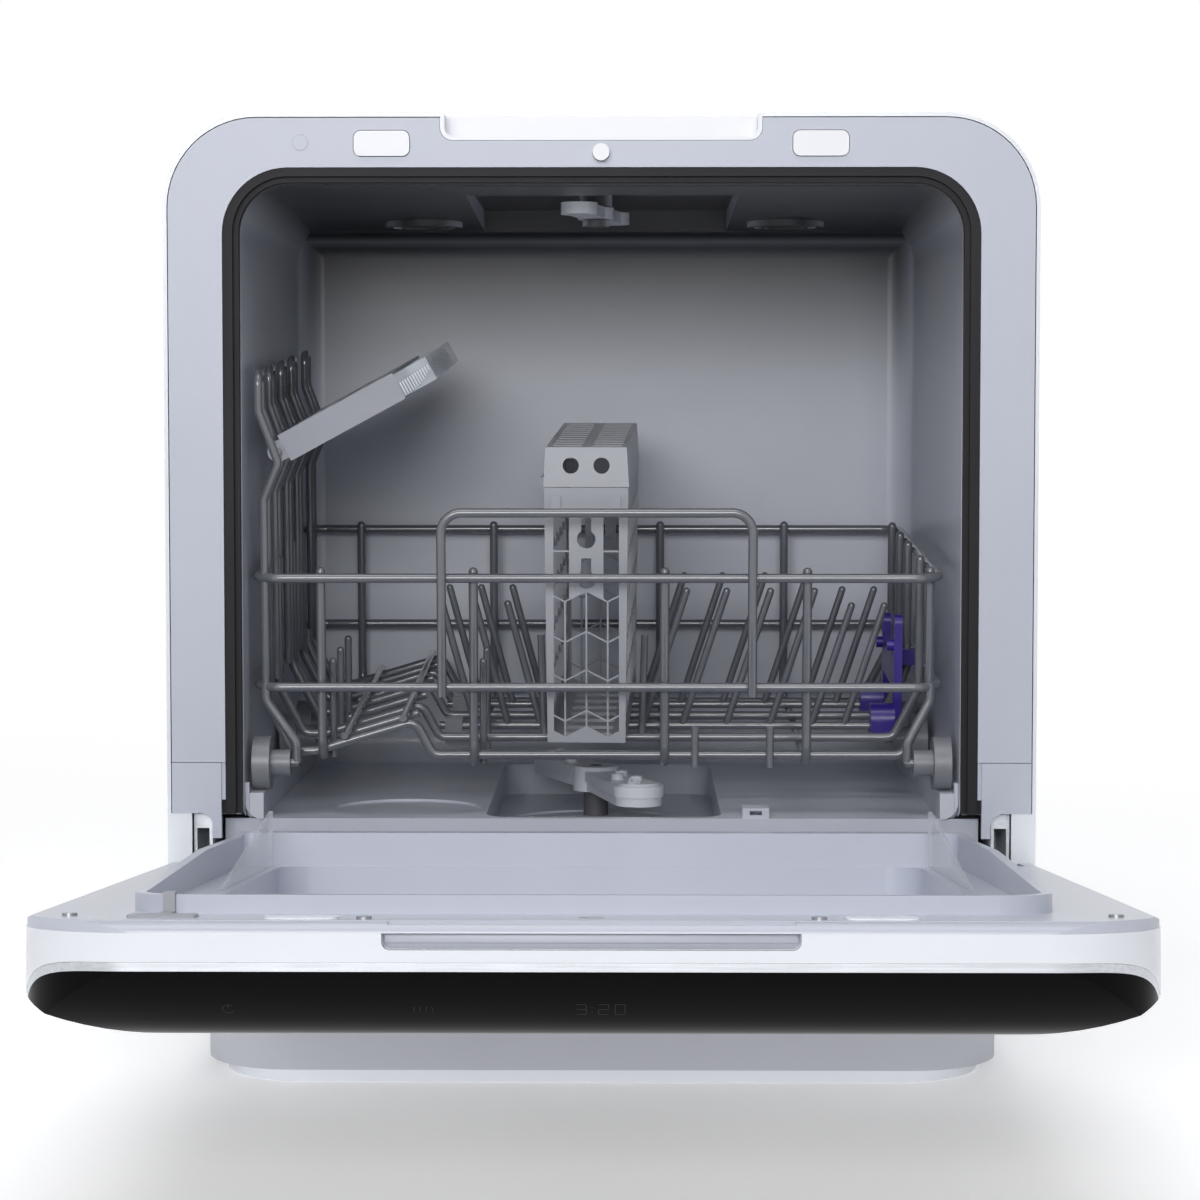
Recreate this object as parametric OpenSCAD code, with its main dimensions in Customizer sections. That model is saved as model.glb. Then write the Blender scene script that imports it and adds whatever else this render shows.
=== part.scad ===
// Countertop dishwasher with a drop-down door, wire basket and two spray arms.
// The origin is at the centre of the underside; +Y points to the rear, +Z up.

/* [Cabinet] */
// Outer width of the casing
case_w = 420; // [400:1:460]
// Overall height above the worktop
case_h = 468; // [455:1:520]
// Depth of the casing behind its front plane
case_d = 390; // [380:1:460]
// Radius of the upper casing corners
case_r = 45; // [30:1:55]
// Thickness of the casing sheet
case_t = 1.8; // [1:0.1:2.5]
// Height of the casing's lower edge above the worktop
case_foot = 30; // [26:1:36]
// Inset of the base pan from the casing's sides
base_inset = 14; // [10:1:20]
// Height of the plinth that touches the worktop
plinth_h = 6; // [4:1:10]

/* [Tub] */
// Space between the wash cavity's side walls and the casing's outside
side_gap = 36; // [34:0.5:40]
// Height of the cavity floor above the worktop
tub_floor = 127; // [124:1:130]
// Space between the cavity ceiling's front edge and the top of the casing
top_gap = 33; // [31:0.5:38]
// Fall of the ceiling from front to back
tub_fall = 7; // [0:1:10]
// Depth of the cavity behind the front plane
tub_d = 272; // [268:1:290]
// Wall thickness of the tub
tub_t = 2.5; // [1.5:0.1:3]
// Corner radius of the door opening
tub_r = 24; // [15:1:30]
// Width of the rubber seal round the opening
seal_w = 7.6; // [6:0.1:8.5]

/* [Door] */
// Height of the hinge axis above the worktop
pivot_z = 96.5; // [95:0.5:98]
// Distance of the hinge axis in front of the casing
pivot_out = 15; // [14.5:0.5:17]
// Angle to which the door opens
door_open = 85; // [60:1:86]
// Thickness of the door at its middle
door_t = 45; // [42:0.5:50]
// Wall thickness of the door's white frame
door_wall = 3; // [2:0.1:4]
// Thickness of the glass
glass_t = 3; // [2:0.1:4]
// Height of the metal trim between frame and glass
trim_h = 3.3; // [2:0.1:5]
// Depth of the recess in the inner liner
recess_d = 21; // [10:1:23]
// Height of the liner's rim at its top
rim_h = 7; // [5:0.5:10]

/* [Basket] */
// Diameter of the basket's main wires
wire_d = 4.6; // [4:0.1:5]
// Diameter of the tines
tine_d = 3.8; // [3:0.1:4]
// Space between the basket's rims and the side walls of the cavity
basket_gap = 4; // [3.5:0.5:9]
// Depth of the basket over its rims
basket_d = 240; // [216:1:242]
// Slope of the basket's floor, rising to the rear
basket_tilt = 4; // [0:0.5:5]
// Diameter of the basket wheels
wheel_d = 26; // [22:0.5:28]
// Width of the wheel tread
wheel_w = 8.5; // [6:0.5:9]
// Spacing of the tines
tine_pitch = 22; // [18:1:26]
// Length of the tines
tine_len = 74; // [50:1:80]

/* [Hidden] */
$fn = 48;
weld = 0.4;
run_gap = 0.05;

front_y = -case_d / 2;
rear_y = case_d / 2;
case_in = case_w / 2 - case_t;
frame_t = 3;
tub_w = case_w - 2 * side_gap;
tub_top = case_h - top_gap;

// Door, in its own closed frame: x across, y towards the tub, z up from the hinge axis
pivot_y = front_y - pivot_out;
door_gap = 2;
ledge_y = pivot_out - door_gap;
door_top = case_h - pivot_z - 0.5;
door_bot = -10;
glass_y = ledge_y - door_t;
door_half = case_w / 2;
side_band = 29;
top_band = 14.8;
top_roll = 45;
side_roll = 60;
ledge_t = 2.5;
rim_half = tub_w / 2 - 2;
rim_top = tub_top - pivot_z - 2.5;
rim_t = 4;
lip_low = 7;
lip_high = 27;
lip_y = 28.5;

// Basket, in its own frame: x across, y back from the front rim, z up from the tines' axis
wire_r = wire_d / 2;
tine_r = tine_d / 2;
basket_w = tub_w - 2 * basket_gap;
basket_x = -2;
basket_y = front_y + 27 + wire_r;
basket_z = tub_floor + 31;
rim_x = basket_w / 2 - wire_r;
rim_y = basket_d - 2 * wire_r;
rim_low = 32.5;
rim_high = 86.5;
rim_corner = 12;
bend_r = 9;
side_x = rim_x - wire_d + weld;
cross_z = -2.6;
long_z = cross_z - wire_d + weld;
long_x = [-0.811 * rim_x, -0.364 * rim_x, 0.197 * rim_x, 0.614 * rim_x];
cross_y = [8.5, 0.255 * rim_y, 0.544 * rim_y, 0.743 * rim_y, 0.96 * rim_y];
handle_x = [-76.3, 75.8];
handle_top = 119;
hoop_y = [11.7, 0.241 * rim_y, 0.462 * rim_y, 0.67 * rim_y, 0.959 * rim_y];
hoop_z = 186;
hoop_half = 8;

// Raised left part of the basket's floor, on which cups lean
ramp_x = [23.5 - side_x, -0.54 * rim_x];
ramp_z = [-0.6, 14.2];
ramp_rod_x = [ramp_x[0] + 15, ramp_x[1] - 5.5];
ramp_bar_y = [0.145 * rim_y, 0.4 * rim_y, 0.637 * rim_y, 0.85 * rim_y];
pin_top = 42;

// Wheels and rails
rail_h = 12.8;
rail_w = 9;
wheel_r = wheel_d / 2;
axle_z = tub_floor + rail_h + 0.1 + wheel_r;
wheel_x = tub_w / 2 - 2.7 - wheel_w;
hub_len = 9.5;
hub_r = 6.4;
wheel_y = [basket_y, basket_y + 0.51 * rim_y, basket_y + 0.8326 * rim_y];
strut_x = wheel_x - hub_len - wire_r - 0.6;

// Tine rows
tine_row_y = [0.3513 * rim_y, 0.6423 * rim_y];
tine_z = -0.4;
tine_left = [for (i = [0 : 2]) -30.2 - i * (tine_pitch - 5)];
tine_right = [22.3, for (i = [2 : 4]) i * (tine_pitch + 0.7) - 2.4, rim_x - 57.7, rim_x - 40.7];
short_tine = 66;
tine_end = [ramp_x[1] + 7.5, rim_x - 9.7];
clip_x = long_x[1];
lock_x = [rim_x - 27.2, rim_x - 14.7];
lock_top = [58, 50];

// Cutlery box: half widths at its foot, its mouth and its lid's top
cut_x = -3;
cut_half = [19.4, 20.8, 20];
cut_y = [15.7, rim_y - 39.7];
cut_z = [2, 129.6, 149.4];
cut_t = 1.6;
cut_yaw = -1.75;
cut_bar = 0.85;
hinge_off = 2.8;
lid_pin_r = 1.1;
lid_knuckle_r = 1.9;

// Cup shelf
shelf_tilt = 28.5;
shelf_len = 64;
comb_len = 18;
shelf_h = 14;
shelf_y = [4, rim_y - 45.4];
shelf_pin = [10.7 + 0.5 - rim_x, 148];
shelf_pin_r = 2;

// Spray arms
hub_pos = [-4, -60];
arm_turn = -72.8;
arm_len = 88;
arm_z = 133;
top_arm_turn = 78;
top_arm_len = 48;
top_recess = 5;

white = [0.92, 0.93, 0.96];
pale_grey = [0.77, 0.79, 0.84];
mid_grey = [0.55, 0.57, 0.61];
zinc = [0.66, 0.68, 0.70];
black = [0.08, 0.08, 0.09];

// ---------- shared shapes ----------

// Upright rounded outline with separate lower and upper corner radii
module arch(half, z0, z1, r0, r1) {
    translate([-half, z0 + r0]) square([2 * half, z1 - z0 - r0 - r1]);
    translate([-half + r1, z0 + r0]) square([2 * (half - r1), z1 - z0 - r0]);
    translate([-half + r0, z0]) square([2 * (half - r0), z1 - z0 - r1]);
    for (s = [-1, 1]) {
        translate([s * (half - r0), z0 + r0]) circle(r0);
        translate([s * (half - r1), z1 - r1]) circle(r1);
    }
}

// Rounded rectangle about the origin
module slab2(w, d, r) {
    square([w, d - 2 * r], center = true);
    square([w - 2 * r, d], center = true);
    for (x = [-1, 1], y = [-1, 1]) translate([x * (w / 2 - r), y * (d / 2 - r)]) circle(r);
}

// Extrude a front-view outline along +Y, from y0 to y1
module along_y(y0, y1) {
    translate([0, y1, 0]) rotate([90, 0, 0]) linear_extrude(y1 - y0) children();
}

// Extrude a side-view outline, drawn as (y, z), across the width
module across(x0, x1) {
    translate([x0, 0, 0]) rotate([90, 0, 90]) linear_extrude(x1 - x0) children();
}

module box(a, b) {
    translate(a) cube(b - a);
}

module mirrored() {
    children();
    mirror([1, 0, 0]) children();
}

// Straight round bar between two points
function unit(v) = v / norm(v);
module rod(a, b, r) {
    v = b - a;
    translate(a) rotate([0, acos(v[2] / norm(v)), atan2(v[1], v[0])]) cylinder(h = norm(v), r = r);
}

// Bent wire: straight runs joined by round elbows of radius bend
function turn(a, b, c) = acos(unit(b - a) * unit(c - b));
function setback(a, b, c, bend) = bend * tan(turn(a, b, c) / 2);
module elbow(a, b, c, r, bend) {
    into = unit(b - a);
    out = unit(c - b);
    side = unit(out - (out * into) * into);
    start = b - setback(a, b, c, bend) * into;
    mid = start + bend * side;
    up = cross(-side, into);
    multmatrix([for (i = [0 : 2]) [-side[i], into[i], up[i], mid[i]]])
        rotate_extrude(angle = turn(a, b, c)) translate([bend, 0]) circle(r + elbow_grow);
}
module wire(p, r, bend) {
    last = len(p) - 1;
    for (i = [0 : last - 1]) {
        dir = unit(p[i + 1] - p[i]);
        cut0 = i == 0 ? 0 : setback(p[i - 1], p[i], p[i + 1], bend) - elbow_in;
        cut1 = i == last - 1 ? 0 : setback(p[i], p[i + 1], p[i + 2], bend) - elbow_in;
        rod(p[i] + cut0 * dir, p[i + 1] - cut1 * dir, r);
    }
    if (last > 1) for (i = [1 : last - 1]) elbow(p[i - 1], p[i], p[i + 1], r, bend);
}
elbow_grow = 0.02;
elbow_in = 0.25;

// ---------- cabinet ----------

module case_outline(inset) {
    arch(case_w / 2 - inset, case_foot + inset, case_h - inset, base_inset - inset, case_r - inset);
}

module scoop_outline(grow) {
    scoop_half = 77;
    translate([0, case_h - 3]) slab2(2 * (scoop_half + grow), 2 * (10 + grow), 6 + grow);
}

module outer_casing() {
    pan_half = case_w / 2 - base_inset;
    flange = 10;
    color(white) {
        difference() {
            along_y(front_y, rear_y - 2) case_outline(0);
            along_y(front_y - 1, rear_y) case_outline(case_t);
            box([-pan_half + 6, front_y - 1, case_foot - 1],
                [pan_half - 6, rear_y, case_foot + base_inset]);
            along_y(front_y - 1, front_y + 18) scoop_outline(0);
        }
        for (s = [-1, 1]) intersection() {
            along_y(front_y, front_y + case_t) case_outline(case_t - 0.2);
            box([s > 0 ? case_in - flange : -case_in - 0.2, front_y, kick_top],
                [s > 0 ? case_in + 0.2 : -case_in + flange, front_y + case_t, cover_low]);
        }
    }
}

module rear_cover() {
    vent_pitch = 9;
    color(pale_grey) difference() {
        union() {
            along_y(rear_y - 2, rear_y) case_outline(0);
            along_y(rear_y - 10, rear_y - 2) difference() {
                case_outline(case_t + 0.1);
                case_outline(case_t + 2);
            }
        }
        for (i = [0 : 8], s = [-1, 1])
            translate([s * 100, rear_y, case_h - 128 + i * vent_pitch]) cube([70, 12, 4], center = true);
        for (i = [0 : 2]) translate([rear_port_x[i], rear_y, rear_port_z]) rotate([90, 0, 0])
            cylinder(h = 30, r = neck_r[i] + 0.3, center = true);
        box([-case_w, rear_y - 12, case_foot - 1], [case_w, rear_y - 2, case_foot + base_inset]);
    }
}
rear_port_x = [120, 70, -120];
rear_port_z = 70;
inlet_r = 13.2;
drain_r = 10;
gland_r = 7.8;
neck_r = [9.5, 8.6, gland_r];
shoulder_t = 3;

module base_pan() {
    half = case_w / 2 - base_inset;
    depth = case_d - 6;
    r = 45;
    color(pale_grey) translate([0, -2.8, 0]) difference() {
        translate([0, 0, plinth_h]) linear_extrude(case_foot - plinth_h) slab2(2 * half, depth, r);
        translate([0, 0, plinth_h + 2.5]) linear_extrude(case_foot) slab2(2 * half - 5, depth - 5, r - 2.5);
    }
}

module plinth_outline(inset) {
    slab2(case_w - 46 - 2 * inset, case_d - 8 - 2 * inset, 45 - inset);
}

feet_xy = [for (x = [-1, 1], y = [-1, 1]) [x * case_w / 3, y * (case_d / 2 - 45)]];
foot_r = 12;

module base_plinth() {
    color(white) translate([0, -3.8, 0]) difference() {
        linear_extrude(plinth_h) plinth_outline(0);
        for (p = feet_xy) translate([p[0], p[1], -1]) cylinder(h = 4, r = foot_r);
    }
}

module rubber_feet() {
    color(black) for (p = feet_xy) translate([p[0], p[1] - 3.8, 0]) cylinder(h = 3, r = foot_r);
}

kick_top = 86;
cover_low = 131.5;
cover_high = 156;
cover_foot = 119.4;
apron_y = front_y + 16;
toe_half = case_w / 2 - 26;
recess_half = 68;

module kick_plate() {
    color(white) {
        intersection() {
            along_y(front_y, front_y + 2.5) case_outline(case_t + 0.1);
            box([-case_w, front_y, case_foot + 0.5], [case_w, front_y + 2.5, kick_top - 0.2]);
        }
        box([-toe_half, front_y + 2.3, kick_top - 2.5], [toe_half, apron_y - 0.2, kick_top - 0.2]);
    }
}

// Front frame with the door opening, scoop and pad pockets cut through it
opening_half = tub_w / 2 + seal_w;
opening_top = tub_top + seal_w - 0.6;
pad_x = case_w / 4;
pad_z = case_h - 14.5;
pad_w = 26.6;
pad_h = 12;
plug_x = -pad_x - 39;
plug_z = case_h - 14;
plunger_z = case_h - 19;
plunger_r = 4;

module opening_outline(grow) {
    arch(opening_half + grow, 60, opening_top + grow, 1, tub_r + seal_w + grow);
}

module front_frame() {
    color(pale_grey) difference() {
        intersection() {
            along_y(front_y, front_y + frame_t) case_outline(case_t + 0.5);
            box([-case_w, front_y, cover_high + 0.3], [case_w, front_y + frame_t, case_h]);
        }
        along_y(front_y - 1, front_y + 6) opening_outline(0.2);
        along_y(front_y - 1, front_y + 6) scoop_outline(0.2);
        for (s = [-1, 1]) translate([s * pad_x, front_y, pad_z]) rotate([90, 0, 0])
            linear_extrude(12, center = true) slab2(pad_w + 0.8, pad_h + 0.8, 3.8);
        translate([plug_x, front_y - 1, plug_z]) rotate([-90, 0, 0]) cylinder(h = 8, r = 3.8);
        translate([0, front_y - 1, plunger_z]) rotate([-90, 0, 0]) cylinder(h = 8, r = plunger_r + 0.2);
    }
}

// Lower corner blocks of the frame, each with the leg that runs down beside the hinge slot
module hinge_covers() {
    slot = [hinge_x - 5.5, hinge_x + 0.5];
    color(pale_grey) mirrored() {
        along_y(front_y - 0.4, front_y + frame_t) difference() {
            translate([opening_half + 2.2, cover_foot])
                square([case_in - 0.5 - opening_half - 2.2, cover_high - cover_foot]);
            translate([slot[0], cover_foot - 20]) square([30, cover_low - cover_foot + 14]);
            translate([slot[1], cover_foot - 20]) square([30, cover_low - cover_foot + 20]);
            translate([slot[1], cover_low - 6]) circle(6);
        }
        along_y(front_y + 1, front_y + frame_t)
            translate([opening_half + 0.3, 138]) square([2, cover_high - 138]);
    }
}

module finger_recess() {
    depth = 18;
    color(white) difference() {
        intersection() {
            along_y(front_y, front_y + depth) scoop_outline(0);
            along_y(front_y, front_y + depth) case_outline(0.4);
        }
        along_y(front_y - 1, front_y + depth - 2) scoop_outline(-2);
    }
}

module frame_plug() {
    color(pale_grey) translate([plug_x, front_y - 0.3, plug_z]) rotate([-90, 0, 0]) {
        cylinder(h = 4, r = 3.7);
        translate([0, 0, 3.3]) cylinder(h = 2.5, r = 5);
    }
}

// Sprung pad that pushes back into the frame; its rear flange keeps it captive
module push_pad() {
    color(white) {
        translate([0, front_y - 0.9, pad_z]) rotate([-90, 0, 0]) linear_extrude(5.7) slab2(pad_w, pad_h, 3.4);
        translate([0, front_y + 3.3, pad_z]) rotate([-90, 0, 0]) linear_extrude(2) slab2(pad_w + 4, pad_h + 3, 3.4);
    }
}
module push_pad_left() translate([-pad_x, 0, 0]) push_pad();
module push_pad_right() translate([pad_x, 0, 0]) push_pad();

module door_plunger() {
    stop_y = front_y + frame_t + 0.3;
    color(white) translate([0, 0, plunger_z]) {
        translate([0, front_y - 6, 0]) rotate([-90, 0, 0]) cylinder(h = stop_y + 1.4 - front_y + 6, r = plunger_r);
        box([-8, stop_y, -3.6], [8, stop_y + 1.4, 3.6]);
    }
}

seal_y = [front_y + 1, front_y + 9];

module door_seal() {
    color(black) difference() {
        union() {
            along_y(seal_y[0], seal_y[1]) opening_outline(0);
            along_y(front_y + frame_t + 0.2, seal_y[1]) opening_outline(2.2);
        }
        along_y(seal_y[0] - 1, seal_y[1] + 1) arch(tub_w / 2 + 0.3, 50, tub_top + 0.3, 1, tub_r);
        along_y(seal_y[0] - 1, seal_y[0] + 3) arch(tub_w / 2 + 3, 50, tub_top + 3, 1, tub_r + 2.7);
        box([-case_w, front_y - 1, 0], [case_w, seal_y[1] + 1, tub_floor + 4]);
    }
}

// ---------- tub ----------

// Side profile of the cavity: level floor, falling ceiling, round rear corners
module tub_side(grow) {
    y1 = front_y + tub_d + grow;
    z0 = tub_floor - grow;
    z1 = tub_top + grow;
    r = 14 + grow;
    y0 = front_y + 5;
    difference() {
        polygon([[y0, z0], [y1, z0], [y1, z1 - tub_fall], [y0, z1]]);
        difference() {
            translate([y1 - r, z0]) square(r);
            translate([y1 - r, z0 + r]) circle(r);
        }
        difference() {
            translate([y1 - r, z1 - tub_fall - r]) square(2 * r);
            translate([y1 - r, z1 - tub_fall - r]) circle(r);
        }
    }
}

module tub_solid(grow) {
    intersection() {
        across(-case_w, case_w) tub_side(grow);
        along_y(front_y, rear_y) arch(tub_w / 2 + grow, tub_floor - grow, tub_top + grow, 8 + grow, tub_r + grow);
        linear_extrude(case_h) translate([0, front_y + tub_d + grow - 200])
            slab2(tub_w + 2 * grow, 400, tub_corner + grow);
    }
}

basin_z = tub_floor - 17;
tub_back = front_y + tub_d;
tub_corner = 14;
basin_half = [58, (tub_d - 38) / 2];
basin_c = [1, tub_back - 16 - basin_half[1]];
cap_c = [-98, front_y + 57];

module tub() {
    flange_y = seal_y[1];
    color(mid_grey) difference() {
        union() {
            tub_solid(tub_t);
            along_y(flange_y, flange_y + tub_t) opening_outline(5);
            translate([basin_c[0], basin_c[1], basin_z - tub_t]) linear_extrude(tub_floor - basin_z)
                slab2(2 * (basin_half[0] + tub_t), 2 * (basin_half[1] + tub_t), 12 + tub_t);
            translate([hub_pos[0], hub_pos[1], basin_z - tub_t]) cylinder(h = tub_t, r = sump_r + 12);
            along_y(front_y + 60, tub_back) translate([-recess_half - tub_t, tub_top - 30])
                square([2 * (recess_half + tub_t), 30 + top_recess + tub_t]);
            box([-toe_half, apron_y, kick_top], [toe_half, apron_y + tub_t, tub_floor]);
        }
        tub_solid(0);
        box([-case_w, front_y - 1, 0], [case_w, flange_y, case_h]);
        box([-case_w, front_y - 1, 0], [case_w, apron_y, tub_floor + 4]);
        along_y(front_y, flange_y + 12) arch(tub_w / 2, tub_floor, tub_top, 1, tub_r);
        translate([basin_c[0], basin_c[1], basin_z]) linear_extrude(tub_floor)
            slab2(2 * basin_half[0], 2 * basin_half[1], 12);
        translate([cap_c[0], cap_c[1], tub_floor - 1.2]) cylinder(h = 20, r = 37);
        along_y(front_y + 60 + tub_t, tub_back - 16) translate([-recess_half, tub_top - 30])
            square([2 * recess_half, 30 + top_recess]);
        translate([hub_pos[0], hub_pos[1], 0]) cylinder(h = tub_floor, r = sump_r);
        translate([hub_pos[0], hub_pos[1], tub_top]) cylinder(h = 20, r = feed_r);
    }
}

// Rail for the wheels, and the guide horn that stands beside its front end
module basket_rails() {
    rail_top = tub_floor + rail_h;
    wall = tub_w / 2;
    color(pale_grey) mirrored() {
        intersection() {
            tub_solid(-0.1);
            difference() {
                box([wall - rail_w, apron_y - 3, tub_floor], [wall, tub_back, rail_top]);
                box([wall - 2.1, apron_y - 4, tub_floor - 1], [wall + 1, apron_y + 1.1, rail_top + 1]);
            }
        }
        intersection() {
            tub_solid(-0.1);
            box([wall - 2, apron_y - 3, tub_floor], [wall, apron_y + 1, rail_top + 5]);
        }
    }
}

module tub_clip() {
    color(pale_grey) difference() {
        box([69, apron_y + 1, tub_floor], [82, apron_y + 14, tub_floor + 5]);
        box([72.5, apron_y, tub_floor + 1.6], [78.5, apron_y + 9, tub_floor + 3.6]);
    }
}

// Round slotted covers in the ceiling
module ceiling_vents() {
    color(pale_grey) for (x = [-98.5, 98.5]) intersection() {
        tub_solid(-0.1);
        translate([x, 9, tub_top - 8.2]) difference() {
            cylinder(h = 20, r = 21);
            translate([0, 0, -1]) cylinder(h = 2, r = 17);
            for (i = [-2 : 2]) box([-13, i * 6 - 1.2, -1], [13, i * 6 + 1.2, 5]);
        }
    }
}

roof_z = tub_top + top_recess;
pipe_z = roof_z + 13;
rotor_z = [roof_z - 13.5, roof_z - 7.5];

module upper_spray_hub() {
    color(pale_grey) translate([hub_pos[0], hub_pos[1], 0]) {
        translate([0, 0, roof_z - 7]) cylinder(h = 7, r = 8.5);
        translate([0, 0, roof_z - 1]) cylinder(h = 4.5, r = feed_r - 0.1);
        translate([0, 0, rotor_z[0] - 3.8]) cylinder(h = roof_z - rotor_z[0], r = 3);
        translate([0, 0, rotor_z[0] - 3.8]) cylinder(h = 3.4, r = 7);
    }
}

// Pipe from the sump, up behind the tub and forward over its roof
module feed_pipe() {
    back_y = tub_back + tub_t + 13;
    path = [[hub_pos[0], hub_pos[1] + sump_r + 14, 66], [hub_pos[0], back_y, 66], [hub_pos[0], back_y, pipe_z],
        [hub_pos[0], hub_pos[1], pipe_z], [hub_pos[0], hub_pos[1], roof_z + 3]];
    color(pale_grey) difference() {
        wire(path, feed_r + 1.6, 9);
        wire([for (i = [0 : 4]) path[i] + (i == 0 ? [0, -1, 0] : i == 4 ? [0, 0, -1] : [0, 0, 0])], feed_r, 9);
    }
}

// Sump bowl with the post that carries the lower spray arm
sump_r = 50;
feed_r = 5.4;
post_r = 6.5;
sump_floor = 56;
module sump() {
    color(mid_grey) translate([hub_pos[0], hub_pos[1], 0]) {
        difference() {
            union() {
                translate([0, 0, basin_z - tub_t - 2.5]) cylinder(h = 2.4, r = sump_r + 10);
                translate([0, 0, sump_floor]) cylinder(h = basin_z - sump_floor - 3, r = sump_r);
                translate([0, 0, 66]) rotate([-90, 0, 0]) cylinder(h = sump_r + 14, r = 9);
                translate([0, 0, 72]) rotate([0, -90, 0]) cylinder(h = sump_r + 12, r = 12);
                translate([0, 0, 66]) rotate([0, 90, 0]) cylinder(h = sump_r + 12, r = 9);
            }
            translate([0, 0, sump_floor + 2.5]) cylinder(h = 60, r = sump_r - 2.5);
            translate([0, 0, basin_z - 5]) cylinder(h = 20, r = sump_r - 0.4);
            translate([0, 0, 66]) rotate([-90, 0, 0]) cylinder(h = sump_r + 20, r = feed_r);
            translate([0, 0, 72]) rotate([0, -90, 0]) cylinder(h = sump_r + 20, r = 9.5);
            translate([0, 0, 66]) rotate([0, 90, 0]) cylinder(h = sump_r + 20, r = 6.5);
        }
        translate([0, 0, sump_floor + 2]) cylinder(h = arm_z - sump_floor - 9, r = post_r);
        translate([0, 0, sump_floor + 2]) cylinder(h = arm_z - sump_floor + 5, r = 3.5);
    }
}

// Dished, perforated plate over the sump
module filter_plate() {
    color(pale_grey) translate([hub_pos[0], hub_pos[1], 0]) difference() {
        union() {
            translate([0, 0, basin_z - 4.9]) cylinder(h = 4, r = sump_r - 0.5);
            translate([0, 0, basin_z - 1.2]) cylinder(h = 5, r1 = sump_r - 1, r2 = 12);
        }
        translate([0, 0, basin_z - 6]) cylinder(h = 4, r1 = sump_r - 3, r2 = sump_r - 8);
        translate([0, 0, basin_z - 8]) cylinder(h = 20, r = post_r + 0.3);
        for (ring = [[22, 12], [31, 18], [40, 24]], i = [1 : ring[1]])
            rotate(i * 360 / ring[1]) translate([ring[0], 0, basin_z - 8]) cylinder(h = 20, r = 1.5);
    }
}

pump_z = 72;
module wash_pump() {
    x0 = hub_pos[0] - sump_r - 12;
    color(mid_grey) translate([x0, hub_pos[1], pump_z]) rotate([0, -90, 0]) {
        cylinder(h = 6, r = 12);
        translate([0, 0, 6]) cylinder(h = 26, r = 29);
        translate([0, 0, 32]) cylinder(h = 4, r = 32);
        translate([0, 0, 36]) cylinder(h = 44, r = 24);
        translate([0, 0, 80]) cylinder(h = 8, r = 8);
        rotate(90) translate([-10, -33.5, 8]) cube([20, 14, 22]);
    }
    color(black) translate([x0 - 60, hub_pos[1], 0])
        box([-18, -14, plinth_h + 2.5], [18, 14, pump_z - 24 + 1.5]);
}

module drain_pump() {
    x0 = hub_pos[0] + sump_r + 12;
    color(black) translate([x0, hub_pos[1], 66]) rotate([0, 90, 0]) {
        cylinder(h = 5, r = 9);
        translate([0, 0, 5]) cylinder(h = 20, r = 22);
        translate([0, 0, 25]) cylinder(h = 28, r = 17);
    }
    color(black) translate([x0 + 36, hub_pos[1], 0]) box([-12, -12, plinth_h + 2.5], [12, 12, 66 - 16]);
}

// Tank in the space behind the tub
tank = [176, 92, tub_top - 105];
tank_c = [104 - case_w / 2, rear_y - 62, 96];
module tank_solid(g) {
    translate(tank_c + [0, 0, g]) linear_extrude(tank[2] - 2 * g) slab2(tank[0] - 2 * g, tank[1] - 2 * g, 14 - g);
}
module water_tank() {
    color(pale_grey) {
        difference() {
            tank_solid(0);
            tank_solid(2.5);
        }
        for (s = [-1, 1]) translate([tank_c[0] + s * 62, tank_c[1], 0])
            box([-8, -20, plinth_h + 2.5], [8, 20, tank_c[2]]);
    }
}

// Fan housing that dries the tub through its back wall
fan_z = tub_top - 75;
module drying_fan() {
    color(mid_grey) translate([80, tub_back + tub_t, fan_z]) rotate([-90, 0, 0]) difference() {
        union() {
            cylinder(h = 14, r = 20);
            translate([0, 0, 14]) cylinder(h = 34, r = 42);
            translate([0, -42, 14]) cube([44, 30, 34]);
        }
        translate([0, 0, 18]) cylinder(h = 40, r = 38);
        translate([0, -38, 18]) cube([50, 22, 26]);
    }
    color(black) translate([80, tub_back + tub_t, fan_z]) rotate([-90, 0, 0]) {
        translate([0, 0, 16]) cylinder(h = 30, r = 12);
        for (i = [0 : 11]) rotate(i * 30) translate([11, -1, 20]) cube([20, 2, 24]);
    }
}

// Rear port: a neck through the cover, a flange inside it and a shoulder outside, then the spigot
module rear_port(i, r, out) {
    translate([rear_port_x[i], rear_y, rear_port_z]) rotate([-90, 0, 0]) {
        translate([0, 0, -14]) cylinder(h = 14 + shoulder_t, r = neck_r[i]);
        translate([0, 0, -5.2]) cylinder(h = 3, r = neck_r[i] + 4);
        translate([0, 0, 0.3]) cylinder(h = shoulder_t, r = r + 3);
        translate([0, 0, shoulder_t]) cylinder(h = out + 0.3, r = r);
    }
}
module port_bore(i, r, back) {
    translate([rear_port_x[i], rear_y - back, rear_port_z]) rotate([-90, 0, 0]) cylinder(h = 80, r = r);
}
module inlet_valve() {
    color(white) difference() {
        union() {
            rear_port(0, inlet_r, 14);
            translate([rear_port_x[0], 0, 0]) {
                box([-20, rear_y - 54, rear_port_z - 18], [20, rear_y - 13.5, rear_port_z + 18]);
                box([-12, rear_y - 50, plinth_h + 2.5], [12, rear_y - 26, rear_port_z - 17]);
            }
        }
        port_bore(0, 6.5, 40);
    }
}
module drain_outlet() {
    color(mid_grey) difference() {
        union() {
            rear_port(1, drain_r, 18);
            translate([rear_port_x[1], 0, 0])
                box([-7, rear_y - 20, plinth_h + 2.5], [7, rear_y - 12.5, rear_port_z - 7]);
        }
        port_bore(1, 6.5, 12);
    }
}
module mains_gland() {
    color(black) difference() {
        rear_port(2, gland_r, 4.7);
        port_bore(2, 3.6, 20);
    }
}

// ---------- hinges ----------

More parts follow.
